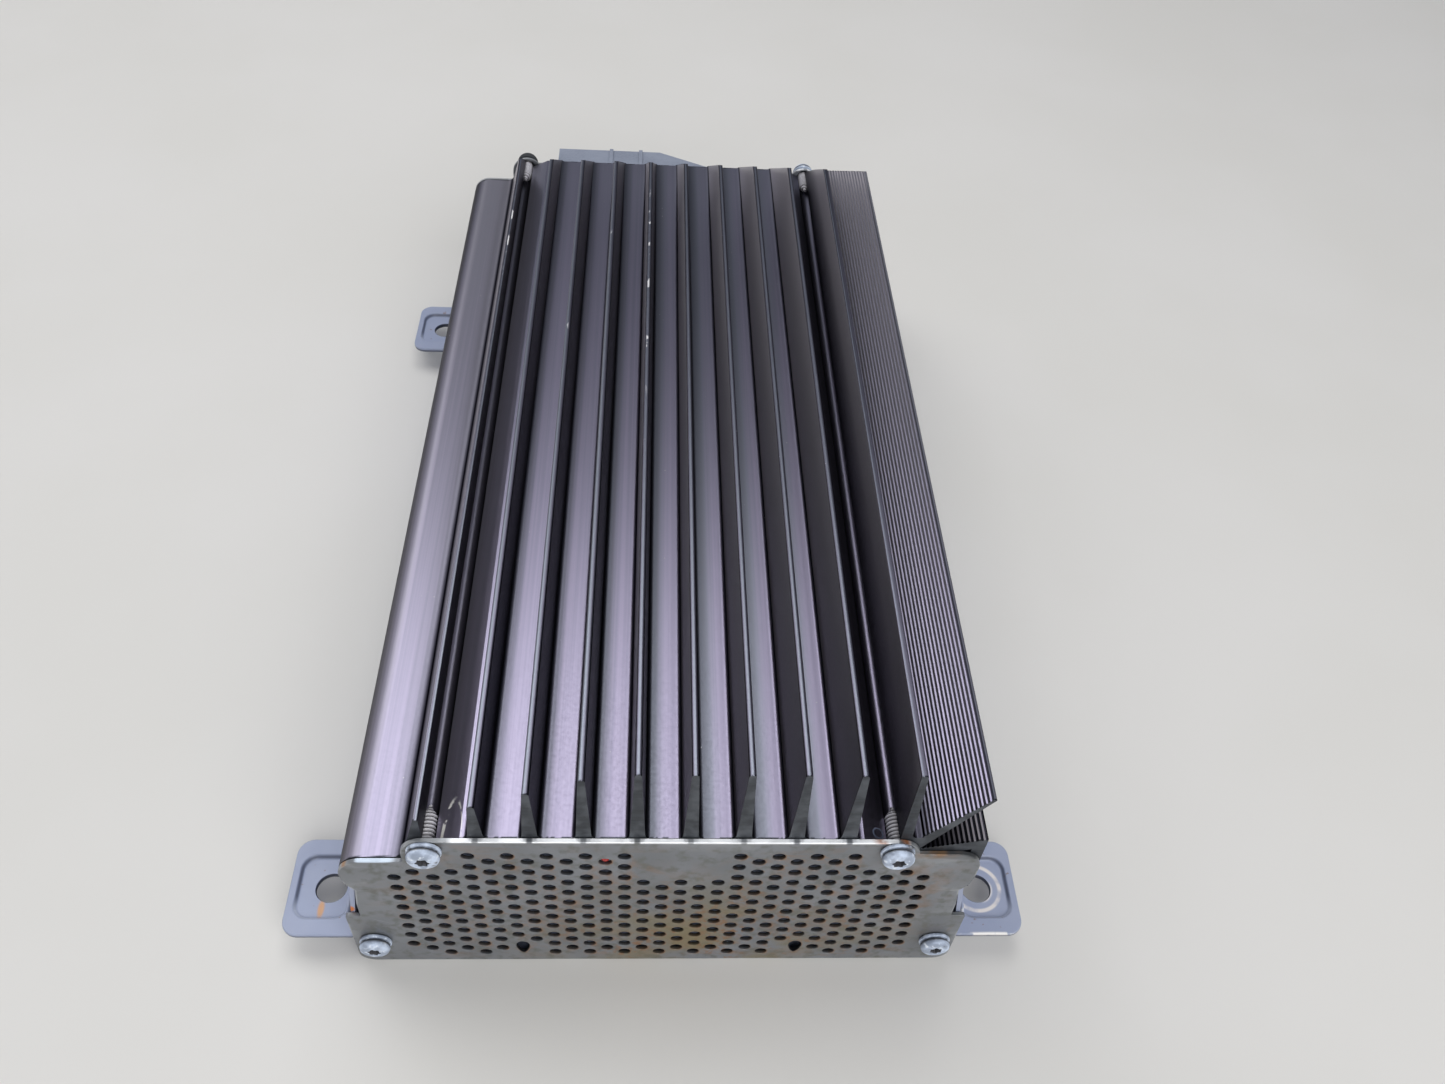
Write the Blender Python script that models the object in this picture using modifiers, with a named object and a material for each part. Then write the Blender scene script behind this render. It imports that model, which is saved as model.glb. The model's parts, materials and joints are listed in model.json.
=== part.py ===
"""Car audio amplifier: a finned heatsink lid on a sheet-steel tray, closed by two end plates.

Metres, +Z up. The origin is the centre of the tray's underside, and -Y is the perforated front.
"""

import math

import bmesh
import bpy
from mathutils import Vector

# Fits shared by every piece
GAP = 0.0003  # left between two pieces that touch
SCREW_PLAY = 0.0003  # radial play of a screw in its hole

# Heatsink extrusion: its section lies in XZ and runs along Y
HEATSINK_LENGTH = 0.281
FIN_COUNT = 8  # free-standing fins between the two screw ports
FIN_PITCH = 0.01175
FIN_TIP_WIDTH = 0.0015
FIN_ROOT_WIDTH = 0.0035
FIN_FILLET = 0.0012
FIN_TOP_Z = 0.0870
VALLEY_Z = 0.0609
LEFT_TIP_Z = 0.0683  # top of the low end fin on the left
LEFT_TIP_SLOPE = 0.464  # rise of the left fin tips per metre across
DECK_THICKNESS = 0.0045
RAKE_RUN = 1.686  # metres along Y lost per metre of fin height at the rear
RAKE_STUB = 0.0004  # fin height left at the very rear

# Screw ports: round channels, open on top, that take the end screws
PORT_OFFSET = 0.01118  # from the last free fin
PORT_Z = 0.0580
PORT_RADIUS = 0.0022
PORT_LIP = 0.0004  # how far the end fin stands over the port
PORT_WALL = 0.0017
PORT_FLOOR = 0.0040
SLOT_LIP_Z = 0.0583
FLOOR_STRIP = 0.0013

# Left shoulder, legs and the splayed wing on the right
SIDE_REACH = 0.0205  # from the port to the outer wall
SHOULDER_Z = 0.0521
SHOULDER_RADIUS = 0.0060
SHOULDER_THICKNESS = 0.0032
FLANK_OFFSET = 0.0058  # from the port to the foot of the left flank
END_FIN_TIP_WIDTH = 0.0011
END_FIN_ROOT = 0.0026  # root width of the end fin on the right
LEG_THICKNESS = 0.0030
LEG_BOTTOM_Z = 0.0382
WING_OFFSET = 0.0050  # from the port to the root of the wing
WING_LENGTH = 0.0210
WING_ANGLE = math.radians(52.7)
WING_ROOT_RISE = 0.0006
WING_TIP_WIDTH = 0.0009
JAW_OFFSET = 0.0055  # from the port to the apex under the wing
JAW_APEX_Z = 0.0566
JAW_END_Z = 0.0608
JAW_THICKNESS = 0.0045
FLUTE_PITCH = 0.00114
FLUTE_DEPTH = 0.00035
FLUTE_SHARES = (0.45, 0.60, 0.85)  # of the pitch: land, start and end of the groove's floor

# Tray: one folded sheet with end tabs
SHEET = 0.0010
TRAY_STEP = 0.0011  # the tray wall stands this far outside the heatsink wall
TRAY_BEND = 0.0025
TAB_WIDTH = 0.0100
TAB_HEIGHT = 0.0180

# End plates
PLATE_THICKNESS = 0.0010
PLATE_BOTTOM_Z = 0.0003
PLATE_OVERLAP = 0.0009  # beyond the tray wall on each side
PLATE_CORNER = 0.0040
NECK_INSET = 0.0024  # from the heatsink wall
NECK_LOW_Z = 0.0250
NECK_HIGH_Z = 0.0392
NECK_RUN = 0.0060
RIGHT_TOP_Z = 0.0560
LOBE_Z = 0.0557  # centre of the round lobes beside the top screws
FRONT_LOBE_END = 90  # degrees round the lobe to the top edge between the lobes
REAR_LOBE_END = 140
BOTTOM_SCREW_INSET = 0.0034  # from the heatsink wall
BOTTOM_SCREW_Z = 0.0122

# Perforation of the front plate
HOLE_PITCH = 0.0050
HOLE_RADIUS = 0.0015
HOLE_SIDES = 6
FIRST_ROW_Z = 0.0048
HOLE_MARGIN_TOP = 0.0045
HOLE_MARGIN_SIDE = 0.0105
SCREW_ZONE = (0.0068, 0.0095)
CORNER_ZONE = (0.0111, 0.0052)
BARE_PLACE_X = 0.0044
BARE_PLACE_HALF = 0.0095
BARE_PLACE_Z = 0.0435
PLAIN_HOLE_X = 0.0343
PLAIN_HOLE_Z = 0.0073
PLAIN_HOLE_RADIUS = 0.00175
PLAIN_HOLE_ZONE = 0.0043

# Indicator lamp behind one hole of the front plate
LAMP_COLUMN = -3
LAMP_ROW = 9
LAMP_RADIUS = 0.0013
LAMP_LENGTH = 0.0044
LAMP_FLANGE = 0.0016
LAMP_FLANGE_HEIGHT = 0.0009
LAMP_SINK = 0.0003  # its tip behind the plate's outer face
LAMP_LEAD = 0.0005
LAMP_LEAD_PITCH = 0.0013
LAMP_LEAD_REACH = 0.0025  # behind the board's front edge

# End screws with washers
SHANK_RADIUS = 0.0019
SHANK_LENGTH = 0.0160
HEAD_RADIUS = 0.0037
HEAD_HEIGHT = 0.0020
RECESS_RADIUS = 0.0016
RECESS_DEPTH = 0.0012
RECESS_WAIST = 0.0012  # radius between the lobes
WASHER_RADIUS = 0.0039
WASHER_THICKNESS = 0.0008

# Mounting ears: pressed brackets on the tray walls
EAR_SHEET = 0.0016
EAR_REACH = 0.0200
EAR_LENGTH = 0.0264
EAR_TOP_Z = 0.0090
EAR_LEG_TOP_Z = 0.0220
EAR_CORNER = 0.0042
EAR_BEND = 0.0026
EAR_FRONT_INSET = 0.0144  # ear centre from the heatsink's front end
EAR_REAR_INSET = 0.0358  # and from its rear end
POCKET_DEPTH = 0.0012
POCKET_RIM_SIDE = 0.0048
POCKET_RIM_OUTER = 0.0022
POCKET_START = 0.0042
POCKET_CORNER = 0.0036
POCKET_WALL = 0.0013  # sheet beside the pocket, seen from below
EAR_HOLE_REACH = 0.0097  # from the tray wall to the bolt hole
EAR_HOLE_RADIUS = 0.0038

# Circuit board on four pillars
BOARD_Z = 0.0300
BOARD_THICKNESS = 0.0016
BOARD_MARGIN = 0.0067  # board beyond the pillars' middles
BOARD_FRONT_INSET = 0.0155  # from the heatsink's front end
BOARD_REAR_INSET = 0.0045
PILLAR_INSET = 0.0425  # pillar centre from the heatsink's ends
PILLAR_RADIUS = 0.0032
PILLAR_BORE_DEPTH = 0.0080
BOARD_SCREW_RADIUS = 0.0014
SMALL_HEAD_RADIUS = 0.0028  # head of every screw inside the case
SMALL_HEAD_HEIGHT = 0.0020

# Power stage under the deck
SPREADER_X = -0.0180
SPREADER_WIDTH = 0.0110
SPREADER_LENGTH = 0.1300
SPREADER_HEIGHT = 0.0200
PAD_THICKNESS = 0.0006
SPREADER_SCREW_RADIUS = 0.0015
SPREADER_SCREW_INSET = 0.0070  # from the spreader's ends
SPREADER_SCREW_BITE = 0.0030
DEVICE_COUNT = 4
DEVICE_PITCH = 0.0280
DEVICE_WIDTH = 0.0160
DEVICE_HEIGHT = 0.0180
DEVICE_THICKNESS = 0.0048
LEAD_WIDTH = 0.0012
LEAD_PITCH = 0.0054
CLAMP_THICKNESS = 0.0025
CLAMP_HEIGHT = 0.0070
CLAMP_INSET = 0.0039  # from the spreader's ends
CLAMP_SCREW_LENGTH = 0.0140

# Supply parts on the board
CAN_RADIUS = 0.0090
CAN_HEIGHT = 0.0220
CAN_BEVEL = 0.0011
CAN_X = 0.0270
CAN_INSET = 0.0300  # first can from the board's front edge
CAN_PITCH = 0.0220
CAN_COUNT = 3
CHOKE_X = 0.0330
CHOKE_Y = 0.0050
CHOKE_RING = 0.0110
CHOKE_WIRE = 0.0048
CORE_X = 0.0290
CORE_Y = 0.0560
CORE_LENGTH = 0.0330
CORE_WIDTH = 0.0240
CORE_HEIGHT = 0.0200
CORE_LIMB = 0.0055
CORE_MIDDLE = 0.0090
WINDING_DEPTH = 0.0060

# Rear connector
CONNECTOR_LEFT_X = -0.0420
CONNECTOR_RIGHT_X = 0.0170
CONNECTOR_TOP_Z = 0.0520
CONNECTOR_BACK = 0.0235  # reach behind the rear plate
CONNECTOR_INSIDE = 0.0130  # reach in front of it
CONNECTOR_SLANT_WIDTH = 0.0195
CONNECTOR_SLANT_DEPTH = 0.0100
CONNECTOR_WALL = 0.0020
SOCKET_DEPTH = 0.0160
SOCKET_SPLIT_X = -0.0120
RIDGE_WIDTH = 0.0014
RIDGE_HEIGHT = 0.0008
RIDGE_XS = (-0.0215, -0.0100)
CONTACT_WIDTH = 0.0028
CONTACT_THICKNESS = 0.0010
CONTACT_COUNT = 6
CONTACT_REACH = 0.0110  # into the socket
CONTACT_TAIL = 0.0025  # clear of the housing, inside the case

# Places worked out from the sizes above
OUTER_FIN_X = (FIN_COUNT - 1) / 2 * FIN_PITCH
PORT_X = OUTER_FIN_X + PORT_OFFSET
END_FIN_X = PORT_X + PORT_LIP
WALL_X = PORT_X + SIDE_REACH
TRAY_X = WALL_X + TRAY_STEP
END_Y = HEATSINK_LENGTH / 2
PLATE_IN_Y = END_Y + GAP
PLATE_OUT_Y = PLATE_IN_Y + PLATE_THICKNESS
WASHER_OUT_Y = PLATE_OUT_Y + GAP + WASHER_THICKNESS
HEAD_SEAT_Y = WASHER_OUT_Y + GAP
DECK_UNDER_Z = VALLEY_Z - DECK_THICKNESS
BOSS_Z = PORT_Z - PORT_RADIUS - PORT_FLOOR
BOTTOM_SCREW_X = WALL_X - BOTTOM_SCREW_INSET
SCREW_HOLE = SHANK_RADIUS + SCREW_PLAY
BOARD_TOP_Z = BOARD_Z + BOARD_THICKNESS
BOARD_HALF_WIDTH = PORT_X + BOARD_MARGIN
BOARD_FRONT_Y = BOARD_FRONT_INSET - END_Y
BOARD_REAR_Y = END_Y - BOARD_REAR_INSET
PILLAR_Y = END_Y - PILLAR_INSET
SPREADER_SCREW_Y = SPREADER_LENGTH / 2 - SPREADER_SCREW_INSET
CLAMP_SCREW_Y = DEVICE_PITCH
CLAMP_LENGTH = SPREADER_LENGTH - 2 * CLAMP_INSET
CAN_FIRST_Y = BOARD_FRONT_Y + CAN_INSET
EAR_FRONT_Y = EAR_FRONT_INSET - END_Y
EAR_REAR_Y = END_Y - EAR_REAR_INSET
ON_BOARD_Z = BOARD_TOP_Z + GAP
END_SCREWS = {
    "top_left": (-PORT_X, PORT_Z),
    "top_right": (PORT_X, PORT_Z),
    "bottom_left": (-BOTTOM_SCREW_X, BOTTOM_SCREW_Z),
    "bottom_right": (BOTTOM_SCREW_X, BOTTOM_SCREW_Z),
}

# Turns that stand a flat outline up: its X and Y become the two axes named
XZ = (math.radians(90), 0, 0)
YZ = (math.radians(90), 0, math.radians(90))

for old in list(bpy.data.objects):
    bpy.data.objects.remove(old, do_unlink=True)

PARTS = bpy.data.collections.new("car_amplifier")
CUTTERS = bpy.data.collections.new("car_amplifier_cutters")
bpy.context.scene.collection.children.link(PARTS)
bpy.context.scene.collection.children.link(CUTTERS)
ORIGIN = bpy.data.objects.new("car_amplifier_origin", None)
PARTS.objects.link(ORIGIN)


def finish(name, color, roughness, metallic):
    """A plain material for one kind of piece."""
    made = bpy.data.materials.new(name)
    made.use_nodes = True
    shader = made.node_tree.nodes["Principled BSDF"]
    shader.inputs["Base Color"].default_value = (*color, 1)
    shader.inputs["Roughness"].default_value = roughness
    shader.inputs["Metallic"].default_value = metallic
    made.diffuse_color = (*color, 1)
    return made


BLACK_ANODISED = finish("black_anodised_aluminium", (0.022, 0.021, 0.026), 0.38, 0.75)
ZINC_STEEL = finish("zinc_steel", (0.19, 0.20, 0.19), 0.55, 0.60)
BLUE_GREY_PAINT = finish("blue_grey_paint", (0.27, 0.29, 0.42), 0.42, 0.20)
SCREW_ZINC = finish("screw_zinc", (0.58, 0.60, 0.62), 0.45, 0.80)
BARE_ALUMINIUM = finish("bare_aluminium", (0.60, 0.60, 0.61), 0.40, 1.00)
BOARD_GREEN = finish("board_green", (0.02, 0.12, 0.05), 0.50, 0.00)
MOULDED_BLACK = finish("moulded_black", (0.02, 0.02, 0.02), 0.50, 0.00)
MOULDED_GREY = finish("moulded_blue_grey", (0.20, 0.22, 0.34), 0.50, 0.00)
PAD_GREY = finish("pad_grey", (0.45, 0.45, 0.47), 0.90, 0.00)
FERRITE = finish("ferrite", (0.06, 0.06, 0.065), 0.70, 0.00)
RED_LENS = finish("red_lens", (0.60, 0.01, 0.01), 0.20, 0.00)
COPPER = finish("enamelled_copper", (0.48, 0.18, 0.07), 0.35, 0.80)
TINNED_BRASS = finish("tinned_brass", (0.66, 0.62, 0.52), 0.30, 1.00)


def cleaned(mesh):
    """Welds a mesh's loose caps and turns its faces outwards."""
    work = bmesh.new()
    work.from_mesh(mesh)
    bmesh.ops.remove_doubles(work, verts=work.verts, dist=1e-7)
    bmesh.ops.recalc_face_normals(work, faces=work.faces)
    work.to_mesh(mesh)
    work.free()
    return mesh


def evaluated(obj):
    """The mesh of an object with its modifiers applied."""
    bpy.context.view_layer.update()
    graph = bpy.context.evaluated_depsgraph_get()
    return bpy.data.meshes.new_from_object(obj.evaluated_get(graph))


def prism(name, loops, depth):
    """A flat outline, with holes for further loops, thickened about its own plane."""
    curve = bpy.data.curves.new(name, "CURVE")
    curve.dimensions = "2D"
    curve.fill_mode = "BOTH"
    curve.extrude = depth / 2
    for loop in loops:
        spline = curve.splines.new("POLY")
        spline.points.add(len(loop) - 1)
        for point, (across, up) in zip(spline.points, loop):
            point.co = (across, up, 0, 1)
        spline.use_cyclic_u = True
    guide = bpy.data.objects.new(name, curve)
    PARTS.objects.link(guide)
    mesh = cleaned(evaluated(guide))
    bpy.data.objects.remove(guide)
    return mesh


def box(name, size):
    """A box about its own centre."""
    mesh = bpy.data.meshes.new(name)
    work = bmesh.new()
    bmesh.ops.create_cube(work, size=1)
    bmesh.ops.scale(work, vec=size, verts=work.verts)
    work.to_mesh(mesh)
    work.free()
    return mesh


def rod(name, radius, length, sides=16):
    """A cylinder along Z about its own centre."""
    mesh = bpy.data.meshes.new(name)
    work = bmesh.new()
    bmesh.ops.create_cone(
        work, cap_ends=True, segments=sides, radius1=radius, radius2=radius, depth=length
    )
    work.to_mesh(mesh)
    work.free()
    return mesh


def turned(name, profile, steps):
    """A profile of (radius, height) points, top to bottom, spun round Z."""
    mesh = bpy.data.meshes.new(name)
    points = [(radius, 0, height) for radius, height in profile]
    edges = [(i, i + 1) for i in range(len(points) - 1)]
    mesh.from_pydata(points, edges, [])
    guide = bpy.data.objects.new(name, mesh)
    PARTS.objects.link(guide)
    spin = guide.modifiers.new("spin", "SCREW")
    spin.steps = steps
    spin.render_steps = steps
    spin.use_merge_vertices = True
    spin.merge_threshold = 1e-6
    made = cleaned(evaluated(guide))
    bpy.data.objects.remove(guide)
    return made


def smooth(mesh, angle=35):
    """Shades a round mesh smooth up to an edge angle in degrees."""
    mesh.shade_smooth()
    mesh.set_sharp_from_angle(angle=math.radians(angle))


def piece(name, mesh, look, location=(0, 0, 0), turn=(0, 0, 0)):
    """Puts a mesh in the amplifier as a named piece."""
    if look.name not in mesh.materials:
        mesh.materials.append(look)
    made = bpy.data.objects.new(name, mesh)
    made.location = location
    made.rotation_euler = turn
    made.parent = ORIGIN
    PARTS.objects.link(made)
    return made


def cutter(name, mesh, location=(0, 0, 0), turn=(0, 0, 0)):
    """A helper shape that only cuts or joins."""
    made = bpy.data.objects.new(name, mesh)
    made.location = location
    made.rotation_euler = turn
    made.hide_render = True
    made.display_type = "WIRE"
    CUTTERS.objects.link(made)
    return made


def combine(target, helper, operation):
    """Adds an exact Boolean with the helper to the target."""
    modifier = target.modifiers.new(helper.name, "BOOLEAN")
    modifier.operation = operation
    modifier.solver = "EXACT"
    modifier.object = helper


def applied(obj):
    """Takes a helper-built object out of the scene and keeps its finished mesh, turned as it was."""
    mesh = evaluated(obj)
    mesh.transform(obj.matrix_world)
    cleaned(mesh)
    bpy.data.objects.remove(obj)
    return mesh


def arc(centre, radius, start, end, steps=5):
    """Points on a circle from one angle to another, in degrees, both ends included."""
    angles = [math.radians(start + (end - start) * i / steps) for i in range(steps + 1)]
    return [(centre[0] + radius * math.cos(a), centre[1] + radius * math.sin(a)) for a in angles]


def circle(centre, radius, sides):
    """A closed loop for a round hole, with the radius of the hole's flats."""
    outer = radius / math.cos(math.pi / sides)
    return arc(centre, outer, 0, 360 * (1 - 1 / sides), sides - 1)


def rounded_box(low, high, radius):
    """A rectangle with round corners."""
    left, bottom = low[0] + radius, low[1] + radius
    right, top = high[0] - radius, high[1] - radius
    return (
        arc((right, top), radius, 0, 90, 3)
        + arc((left, top), radius, 90, 180, 3)
        + arc((left, bottom), radius, 180, 270, 3)
        + arc((right, bottom), radius, 270, 360, 3)
    )


def mirrored(points):
    """The same run of points on the other side, in the other direction."""
    return [(-x, z) for x, z in reversed(points)]


def fin_tip_z(x):
    """Height of a fin tip: level on the right, falling in a straight line on the left."""
    return min(FIN_TOP_Z, LEFT_TIP_Z + (x + END_FIN_X) * LEFT_TIP_SLOPE)


def fin(x):
    """One free fin with its root fillets, from left to right."""
    half_root = FIN_ROOT_WIDTH / 2
    half_tip = FIN_TIP_WIDTH / 2
    side = half_root + FIN_FILLET
    centre_z = VALLEY_Z + FIN_FILLET
    tip = fin_tip_z(x)
    return (
        arc((x - side, centre_z), FIN_FILLET, 270, 360, 3)
        + [(x - half_tip, tip), (x + half_tip, tip)]
        + arc((x + side, centre_z), FIN_FILLET, 180, 270, 3)
    )


def screw_port():
    """The left port, from the end fin's inner face round the channel to the valley floor."""
    start = math.degrees(math.acos(-PORT_LIP / PORT_RADIUS))
    strip_x = OUTER_FIN_X + FIN_ROOT_WIDTH / 2 + FIN_FILLET + FLOOR_STRIP
    channel = arc((-PORT_X, PORT_Z), PORT_RADIUS, start, 360, 12)
    lip = [(PORT_RADIUS - PORT_X, SLOT_LIP_Z), (-strip_x, VALLEY_Z)]
    return channel + lip


def flutes(start, end):
    """Fine flutes cut along a straight face, on the right of its direction."""
    run = end - start
    count = round(run.length / FLUTE_PITCH)
    step = run / count
    sunk = Vector((run.y, -run.x)).normalized() * FLUTE_DEPTH
    land, floor, end_floor = FLUTE_SHARES
    points = []
    for i in range(count):
        foot = start + step * i
        points += [foot, foot + step * land, foot + step * floor + sunk, foot + step * end_floor + sunk]
    return [tuple(p) for p in points] + [tuple(end)]


def wing():
    """The splayed wing on the right and the fluted jaw below it, from the last fin outwards."""
    along = Vector((math.cos(WING_ANGLE), math.sin(WING_ANGLE)))
    below = Vector((along.y, -along.x))
    root = Vector((PORT_X + WING_OFFSET, VALLEY_Z + WING_ROOT_RISE))
    tip = root + along * WING_LENGTH
    apex = Vector((PORT_X + JAW_OFFSET, JAW_APEX_Z))
    jaw_end = Vector((WALL_X, JAW_END_Z))
    return flutes(root, tip) + [tuple(tip + below * WING_TIP_WIDTH)] + flutes(apex, jaw_end)


def heatsink_section():
    """The whole section of the extrusion, clockwise from the foot of the left leg."""
    leg_x = WALL_X - LEG_THICKNESS
    shoulder_under = SHOULDER_Z - SHOULDER_THICKNESS
    boss_x = PORT_X - PORT_RADIUS - PORT_WALL
    right_fin_x = END_FIN_X + FIN_TIP_WIDTH
    right_root_x = END_FIN_X + END_FIN_ROOT
    shoulder_centre = (SHOULDER_RADIUS - WALL_X, SHOULDER_Z - SHOULDER_RADIUS)
    port = screw_port()
    left = [(-WALL_X, LEG_BOTTOM_Z)]
    left += arc(shoulder_centre, SHOULDER_RADIUS, 180, 90, 6)
    left += [(-PORT_X - FLANK_OFFSET, SHOULDER_Z)]
    left += [(-END_FIN_X - END_FIN_TIP_WIDTH, LEFT_TIP_Z), (-END_FIN_X, LEFT_TIP_Z)]
    fins = []
    for i in range(FIN_COUNT):
        fins += fin(i * FIN_PITCH - OUTER_FIN_X)
    right = [(END_FIN_X, FIN_TOP_Z), (right_fin_x, FIN_TOP_Z)]
    right += [(right_root_x, VALLEY_Z + FIN_FILLET), (right_root_x + FIN_FILLET, VALLEY_Z)]
    right += wing() + [(WALL_X, LEG_BOTTOM_Z)]
    inside = [(leg_x, LEG_BOTTOM_Z), (leg_x, JAW_END_Z - JAW_THICKNESS)]
    inside += [(PORT_X + JAW_OFFSET, BOSS_Z), (boss_x, BOSS_Z)]
    inside += [(boss_x - DECK_THICKNESS / 2, DECK_UNDER_Z)]
    inside += mirrored(inside[-2:])
    inside += [(boss_x - 2 * PORT_X, BOSS_Z), (-PORT_X - FLANK_OFFSET, shoulder_under)]
    inside += [(-leg_x, shoulder_under), (-leg_x, LEG_BOTTOM_Z)]
    return left + port + fins + mirrored(port) + right + inside


def make_heatsink():
    """The extrusion, raked at the rear, with blind holes for the heat spreader's screws."""
    section = prism("heatsink", [heatsink_section()], HEATSINK_LENGTH)
    heatsink = piece("heatsink", section, BLACK_ANODISED, turn=XZ)
    foot_z = VALLEY_Z + RAKE_STUB
    over = FIN_TOP_Z - VALLEY_Z
    rake = [
        (END_Y, foot_z),
        (END_Y + over * RAKE_RUN, foot_z - over),
        (END_Y + over * RAKE_RUN, foot_z + 2 * over),
        (END_Y - 2 * over * RAKE_RUN, foot_z + 2 * over),
    ]
    wedge = prism("rake_cutter", [rake], 4 * WALL_X)
    combine(heatsink, cutter("rake_cutter", wedge, turn=YZ), "DIFFERENCE")
    radius = SPREADER_SCREW_RADIUS + SCREW_PLAY
    depth = SPREADER_SCREW_BITE + GAP
    for side in (-1, 1):
        drill = rod("spreader_drill", radius, 2 * depth)
        where = (SPREADER_X, side * SPREADER_SCREW_Y, DECK_UNDER_Z)
        combine(heatsink, cutter("spreader_drill", drill, where), "DIFFERENCE")


def tray_section():
    """Folded sheet: floor, two walls and a flange on each for the heatsink's legs."""
    top = LEG_BOTTOM_Z - GAP
    flange_x = WALL_X - LEG_THICKNESS
    corner = (TRAY_X - TRAY_BEND, TRAY_BEND)
    outer = arc(corner, TRAY_BEND, 270, 360) + [(TRAY_X, top), (flange_x, top)]
    inner = [(flange_x, top - SHEET), (TRAY_X - SHEET, top - SHEET)]
    inner += arc(corner, TRAY_BEND - SHEET, 360, 270)
    half = outer + inner
    return half + mirrored(half)


def make_tray():
    """The folded tray with an inward tab for each bottom screw."""
    tray = piece(
        "chassis_tray", prism("chassis_tray", [tray_section()], HEATSINK_LENGTH), BLUE_GREY_PAINT, turn=XZ
    )
    low_z = TRAY_BEND + GAP
    for end in (-1, 1):
        for side in (-1, 1):
            near = side * (TRAY_X - SHEET / 2)
            far = side * (TRAY_X - TAB_WIDTH)
            low, high = min(near, far), max(near, far)
            outline = [(low, low_z), (high, low_z), (high, TAB_HEIGHT), (low, TAB_HEIGHT)]
            hole = circle((side * BOTTOM_SCREW_X, BOTTOM_SCREW_Z), SCREW_HOLE, 12)
            tab = prism("tray_tab", [outline, hole], SHEET)
            where = (0, end * (END_Y - SHEET / 2), 0)
            combine(tray, cutter("tray_tab", tab, where, XZ), "UNION")


def plate_outline(lobe_end):
    """Outline of an end plate, anticlockwise from its lower left corner."""
    low_x = TRAY_X + PLATE_OVERLAP
    neck_x = WALL_X - NECK_INSET
    lobe = VALLEY_Z + GAP - LOBE_Z
    corner_z = PLATE_BOTTOM_Z + PLATE_CORNER
    right_edge = [(low_x, NECK_LOW_Z), (neck_x, NECK_LOW_Z), (neck_x, NECK_HIGH_Z)]
    for out, up in ((0.4, 0.2), (0.8, 0.5), (1.0, 1.0)):
        right_edge += [(neck_x + out * NECK_INSET, NECK_HIGH_Z + up * NECK_RUN)]
    points = arc((PLATE_CORNER - low_x, corner_z), PLATE_CORNER, 180, 270)
    points += arc((low_x - PLATE_CORNER, corner_z), PLATE_CORNER, 270, 360)
    points += right_edge
    points += arc((WALL_X - SHOULDER_RADIUS, RIGHT_TOP_Z - SHOULDER_RADIUS), SHOULDER_RADIUS, 0, 90)
    lobe_start = math.degrees(math.asin((RIGHT_TOP_Z - LOBE_Z) / lobe))
    points += arc((PORT_X, LOBE_Z), lobe, lobe_start, lobe_end)
    points += arc((-PORT_X, LOBE_Z), lobe, 180 - lobe_end, 180)
    points += [(-PORT_X - lobe, SHOULDER_Z)]
    points += arc((SHOULDER_RADIUS - WALL_X, SHOULDER_Z - SHOULDER_RADIUS), SHOULDER_RADIUS, 90, 180)
    return points + mirrored(right_edge)


def perforated(x, z):
    """True where the regular pattern has a hole and not a screw, plain hole or bare place."""
    by_screw = abs(x) > PORT_X - SCREW_ZONE[0] and z > PORT_Z - SCREW_ZONE[1]
    in_corner = abs(x) > BOTTOM_SCREW_X - CORNER_ZONE[0] and z < BOTTOM_SCREW_Z - CORNER_ZONE[1]
    by_plain_hole = math.hypot(abs(x) - PLAIN_HOLE_X, z - PLAIN_HOLE_Z) < PLAIN_HOLE_ZONE
    bare = abs(x - BARE_PLACE_X) < BARE_PLACE_HALF and z > BARE_PLACE_Z
    return not (by_screw or in_corner or by_plain_hole or bare)


def perforation():
    """Centres of the front plate's holes: columns at 60 degrees to each other."""
    column_pitch = HOLE_PITCH * math.sin(math.radians(60))
    columns = int((WALL_X - HOLE_MARGIN_SIDE) / column_pitch)
    centres = []
    for column in range(-columns, columns + 1):
        z = FIRST_ROW_Z + (column % 2) * HOLE_PITCH / 2
        while z < VALLEY_Z - HOLE_MARGIN_TOP:
            if perforated(column * column_pitch, z):
                centres.append((column * column_pitch, z))
            z += HOLE_PITCH
    return centres


def make_end_plates():
    """The perforated front plate, and a plain rear plate with the connector's cut-out."""
    screw_holes = [circle(centre, SCREW_HOLE, 12) for centre in END_SCREWS.values()]
    plain = [circle((side * PLAIN_HOLE_X, PLAIN_HOLE_Z), PLAIN_HOLE_RADIUS, 10) for side in (-1, 1)]
    pattern = [circle(centre, HOLE_RADIUS, HOLE_SIDES) for centre in perforation()]
    holes = screw_holes + plain + pattern
    front = prism("front_end_plate", [plate_outline(FRONT_LOBE_END)] + holes, PLATE_THICKNESS)
    middle_y = PLATE_IN_Y + PLATE_THICKNESS / 2
    piece("front_end_plate", front, ZINC_STEEL, (0, -middle_y, 0), XZ)
    opening = [
        (CONNECTOR_LEFT_X - GAP, BOARD_TOP_Z),
        (CONNECTOR_RIGHT_X + GAP, BOARD_TOP_Z),
        (CONNECTOR_RIGHT_X + GAP, CONNECTOR_TOP_Z + RIDGE_HEIGHT + GAP),
        (CONNECTOR_LEFT_X - GAP, CONNECTOR_TOP_Z + RIDGE_HEIGHT + GAP),
    ]
    rear = prism("rear_end_plate", [plate_outline(REAR_LOBE_END), opening] + screw_holes, PLATE_THICKNESS)
    piece("rear_end_plate", rear, ZINC_STEEL, (0, middle_y, 0), XZ)


def star(radius, waist, lobes):
    """A six-lobed outline for a screw's drive."""
    points = []
    for i in range(2 * lobes):
        reach = radius if i % 2 == 0 else waist
        angle = math.pi * i / lobes
        points.append((reach * math.cos(angle), reach * math.sin(angle)))
    return points


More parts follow.
